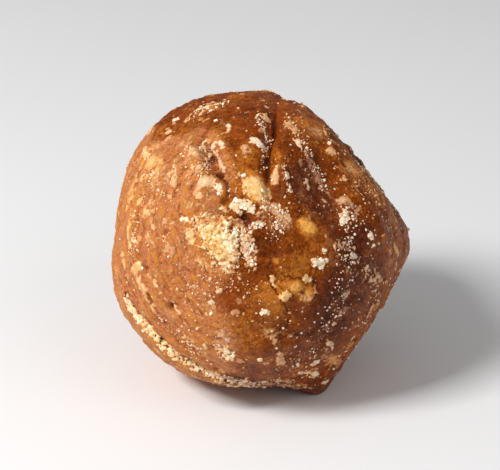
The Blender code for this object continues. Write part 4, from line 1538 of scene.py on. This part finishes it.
@dataclass
class SugarCoat:
    """The loose sugar that clings to the lump, one piece for each kind of grain.

    Attributes:
        skin: the surface that it lies on.
        seed: of the random draws.
        variants: how many shapes each kind has.
    """

    skin: Skin
    seed: int = 7
    variants: int = 6

    def __post_init__(self) -> None:
        """Starts the random draws and empties the lists of grains."""
        self.draws = np.random.default_rng(self.seed)
        self.beds: dict[Grain, list[tuple[Vector, Vector, float, tuple[float, ...]]]] = {
            kind: [] for kind in Grain}
        self.hues = np.stack((self.skin.painted("ash"), self.skin.painted("gold")), axis=1)

    def shape(self, grain: Grain, variant: int) -> tuple[np.ndarray, np.ndarray]:
        """Models one grain, about one unit wide.

        Args:
            grain: its kind.
            variant: which of the kind's shapes.

        Returns:
            Its points and its triangles.
        """
        bpy.ops.object.select_all(action="DESELECT")
        if grain is Grain.DUST:
            bpy.ops.mesh.primitive_ico_sphere_add(subdivisions=1, radius=0.5)
        else:
            bpy.ops.mesh.primitive_cube_add(size=0.85)
        model = bpy.context.active_object
        bpy.ops.object.mode_set(mode="EDIT")
        bpy.ops.mesh.select_all(action="SELECT")
        if grain is Grain.CRYSTAL:
            bpy.ops.mesh.bevel(offset=0.08, segments=1)
        if grain is Grain.CRUMB:
            bpy.ops.mesh.subdivide(number_cuts=1, smoothness=0.3)
        bpy.ops.transform.vertex_random(offset=0.2 if grain is Grain.CRUMB else 0.14, seed=variant)
        bpy.ops.mesh.quads_convert_to_tris()
        bpy.ops.object.mode_set(mode="OBJECT")
        points = np.array([vertex.co[:] for vertex in model.data.vertices])
        faces = np.array([face.vertices[:] for face in model.data.polygons])
        bpy.data.objects.remove(model)
        return points, faces

    def lay(self, grain: Grain, point: Vector, size: float, tint: float) -> None:
        """Lays a grain on the surface next to a point."""
        place, normal, face, _ = self.skin.tree.find_nearest(point)
        ash, gold = self.hues[self.skin.mesh.polygons[face].vertices[0]]
        self.beds[grain].append((place, normal, size, (tint, ash, gold)))

    def drift(self, drift: Drift) -> None:
        """Lays the grains of a drift: crowded in its middle, and in ragged clumps at its edge."""
        chain = trace(self.skin.tree, drift.route, drift.side)
        laid = tries = 0
        while laid < drift.count and tries < drift.count * 20:
            tries += 1
            home = chain[self.draws.integers(len(chain))]
            offset = self.draws.normal(size=3) * drift.reach * 0.55 * MM
            distance = float(np.linalg.norm(offset)) / (drift.reach * MM)
            point = Vector(home + offset)
            clump = 0.8 * noise.noise(point / (1.5 * MM)) + 0.35
            if clump < distance * 0.8 - 0.15:
                continue
            size = drift.size * min(float(self.draws.lognormal(0, 0.5)), 2.1)
            tint = drift.tint + float(self.draws.normal(0, 0.2))
            self.lay(drift.grain, point, size * (1.1 - 0.3 * min(distance, 1.0)), tint)
            laid += 1

    def sprinkle(self, grain: Grain, count: int, size: float, tint: float, clumping: float) -> None:
        """Strews grains over the whole lump.

        Args:
            grain: their kind.
            count: how many.
            size: their usual width in millimetres.
            tint: their usual tint.
            clumping: 0 for an even spread, 1 for clumps with bare skin between.
        """
        middle = Side.FRONT.value.middle
        laid = 0
        while laid < count:
            way = Vector(self.draws.normal(size=3)).normalized()
            point = middle + way * 35 * MM
            density = noise.fractal(point / (5 * MM), 1.0, 2.0, 3) + 0.45
            if density < clumping * float(self.draws.random()) or way.z < -0.85:
                continue
            factor = min(float(self.draws.lognormal(0, 0.5)), 2.2)
            self.lay(grain, point, size * factor, tint + float(self.draws.normal(0, 0.22)))
            laid += 1

    def build(self, grain: Grain) -> bpy.types.Object:
        """Joins all the grains of a kind into one piece.

        Args:
            grain: the kind.

        Returns:
            The finished piece.
        """
        shapes = [self.shape(grain, variant) for variant in range(self.variants)]
        points: list[np.ndarray] = []
        faces: list[np.ndarray] = []
        tints: list[np.ndarray] = []
        start = 0
        for place, normal, size, hues in self.beds[grain]:
            model, triangles = shapes[self.draws.integers(self.variants)]
            turn = normal.to_track_quat("Z", "Y").to_matrix() @ Matrix.Rotation(
                float(self.draws.uniform(0, math.tau)), 3, "Z") @ Matrix.Rotation(
                float(self.draws.normal(0, 0.5)), 3, "X")
            stretch = self.draws.uniform((0.75, 0.75, 0.45), (1.45, 1.2, 0.9)) * size * MM
            lifted = place + normal * size * MM * float(self.draws.uniform(0.0, 0.25))
            laid = model * stretch @ np.array(turn).T + np.array(lifted)
            laid[:, 2] += max(0.0, FLOOR_GAP - float(laid[:, 2].min()))
            points.append(laid)
            faces.append(triangles + start)
            tints.append(np.tile(hues, (len(model), 1)))
            start += len(model)
        mesh = bpy.data.meshes.new(grain.value)
        mesh.from_pydata(np.concatenate(points).tolist(), [], np.concatenate(faces).tolist())
        mesh.update()
        piece = bpy.data.objects.new(grain.value, mesh)
        bpy.context.scene.collection.objects.link(piece)
        for name, values in zip(("tint", "ash", "gold"), np.clip(np.concatenate(tints), 0, 1).T):
            layer = mesh.attributes.new(name, "FLOAT", "POINT")
            layer.data.foreach_set("value", values.astype(np.float32))
        mesh.materials.append(Sugar(grain.value + "_finish").material())
        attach(piece, BODY)
        return piece


# ---------------------------------------------------------------------------------------------------
# The studio
# ---------------------------------------------------------------------------------------------------


@dataclass
class Studio:
    """A plain pale floor, soft light from the left, and the camera."""

    floor_size: float = 6.0
    lens_width: float = 36.0
    view_width: float = 119.2 * MM
    aim: Place = (-2.85, 1.5)

    def floor(self) -> bpy.types.Object:
        """Lays the floor."""
        bpy.ops.object.select_all(action="DESELECT")
        bpy.ops.mesh.primitive_plane_add(size=self.floor_size)
        floor = bpy.context.active_object
        floor.name = "studio_floor"
        graph = Graph("studio_floor_finish")
        cloud = graph.noise(220, detail=1)
        colour = graph.ramp(cloud, [(0.3, (0.86, 0.86, 0.86, 1)), (0.7, (0.9, 0.9, 0.9, 1))])
        floor.data.materials.append(graph.dress(Base_Color=colour, Roughness=0.8))
        return floor

    def lamp(self, name: str, azimuth: float, lift: float, distance: float, size: float,
             power: float) -> bpy.types.Object:
        """Hangs a soft lamp that shines on the lump.

        Args:
            name: its name.
            azimuth, lift: where it hangs, as an Outlook has it.
            distance: from the lump, in metres.
            size: of its square face, in metres.
            power: in watts.

        Returns:
            The lamp.
        """
        outlook = Outlook(azimuth, lift)
        light = bpy.data.lights.new(name, "AREA")
        light.size = size
        light.energy = power
        lamp = bpy.data.objects.new(name, light)
        lamp.location = outlook.middle + outlook.towards * distance
        lamp.rotation_euler = outlook.towards.to_track_quat("Z", "Y").to_euler()
        bpy.context.scene.collection.objects.link(lamp)
        return lamp

    def camera(self) -> bpy.types.Object:
        """Sets the camera up on the showing side."""
        front = Side.FRONT.value
        lens = bpy.data.cameras.new("studio_camera")
        lens.sensor_width = self.lens_width
        lens.lens = self.lens_width * EYE_DISTANCE / self.view_width
        lens.clip_start = 0.01
        camera = bpy.data.objects.new("studio_camera", lens)
        camera.location = front.eye
        aim = front.middle + (front.right * self.aim[0] + front.up * self.aim[1]) * MM
        camera.rotation_euler = (front.eye - aim).to_track_quat("Z", "Y").to_euler()
        bpy.context.scene.collection.objects.link(camera)
        bpy.context.scene.camera = camera
        return camera

    def build(self) -> None:
        """Builds the studio."""
        self.floor()
        self.lamp("key_lamp", -58, 45, 0.9, 0.26, 7.7)
        self.lamp("fill_lamp", 50, 40, 1.2, 0.7, 1.6)
        self.camera()
        scene = bpy.context.scene
        scene.world = bpy.data.worlds.new("studio_air")
        scene.world.use_nodes = True
        background = scene.world.node_tree.nodes["Background"]
        background.inputs["Color"].default_value = (1.0, 1.0, 1.0, 1.0)
        background.inputs["Strength"].default_value = 0.3
        scene.view_settings.view_transform = "Standard"


def main() -> None:
    """Builds the lump, its sugar and the studio, and reports each piece."""
    logging.basicConfig(level=logging.INFO, format="%(name)s: %(message)s")
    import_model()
    body = LumpBody()
    pieces = [body.build()]
    crust = SugarCrust(body)
    pieces.append(crust.build())
    coat = SugarCoat(body.skin)
    for drift in DRIFTS:
        coat.drift(drift)
    coat.sprinkle(Grain.DUST, 2200, 0.28, 0.55, 1.0)
    coat.sprinkle(Grain.CRUMB, 260, 0.42, 0.5, 1.0)
    coat.sprinkle(Grain.CRYSTAL, 120, 0.38, 0.9, 1.0)
    pieces += [coat.build(grain) for grain in Grain]
    Studio().build()
    for piece in pieces:
        LOG.info("%s: %d faces", piece.name, len(piece.data.polygons))


if __name__ == "__main__":
    main()
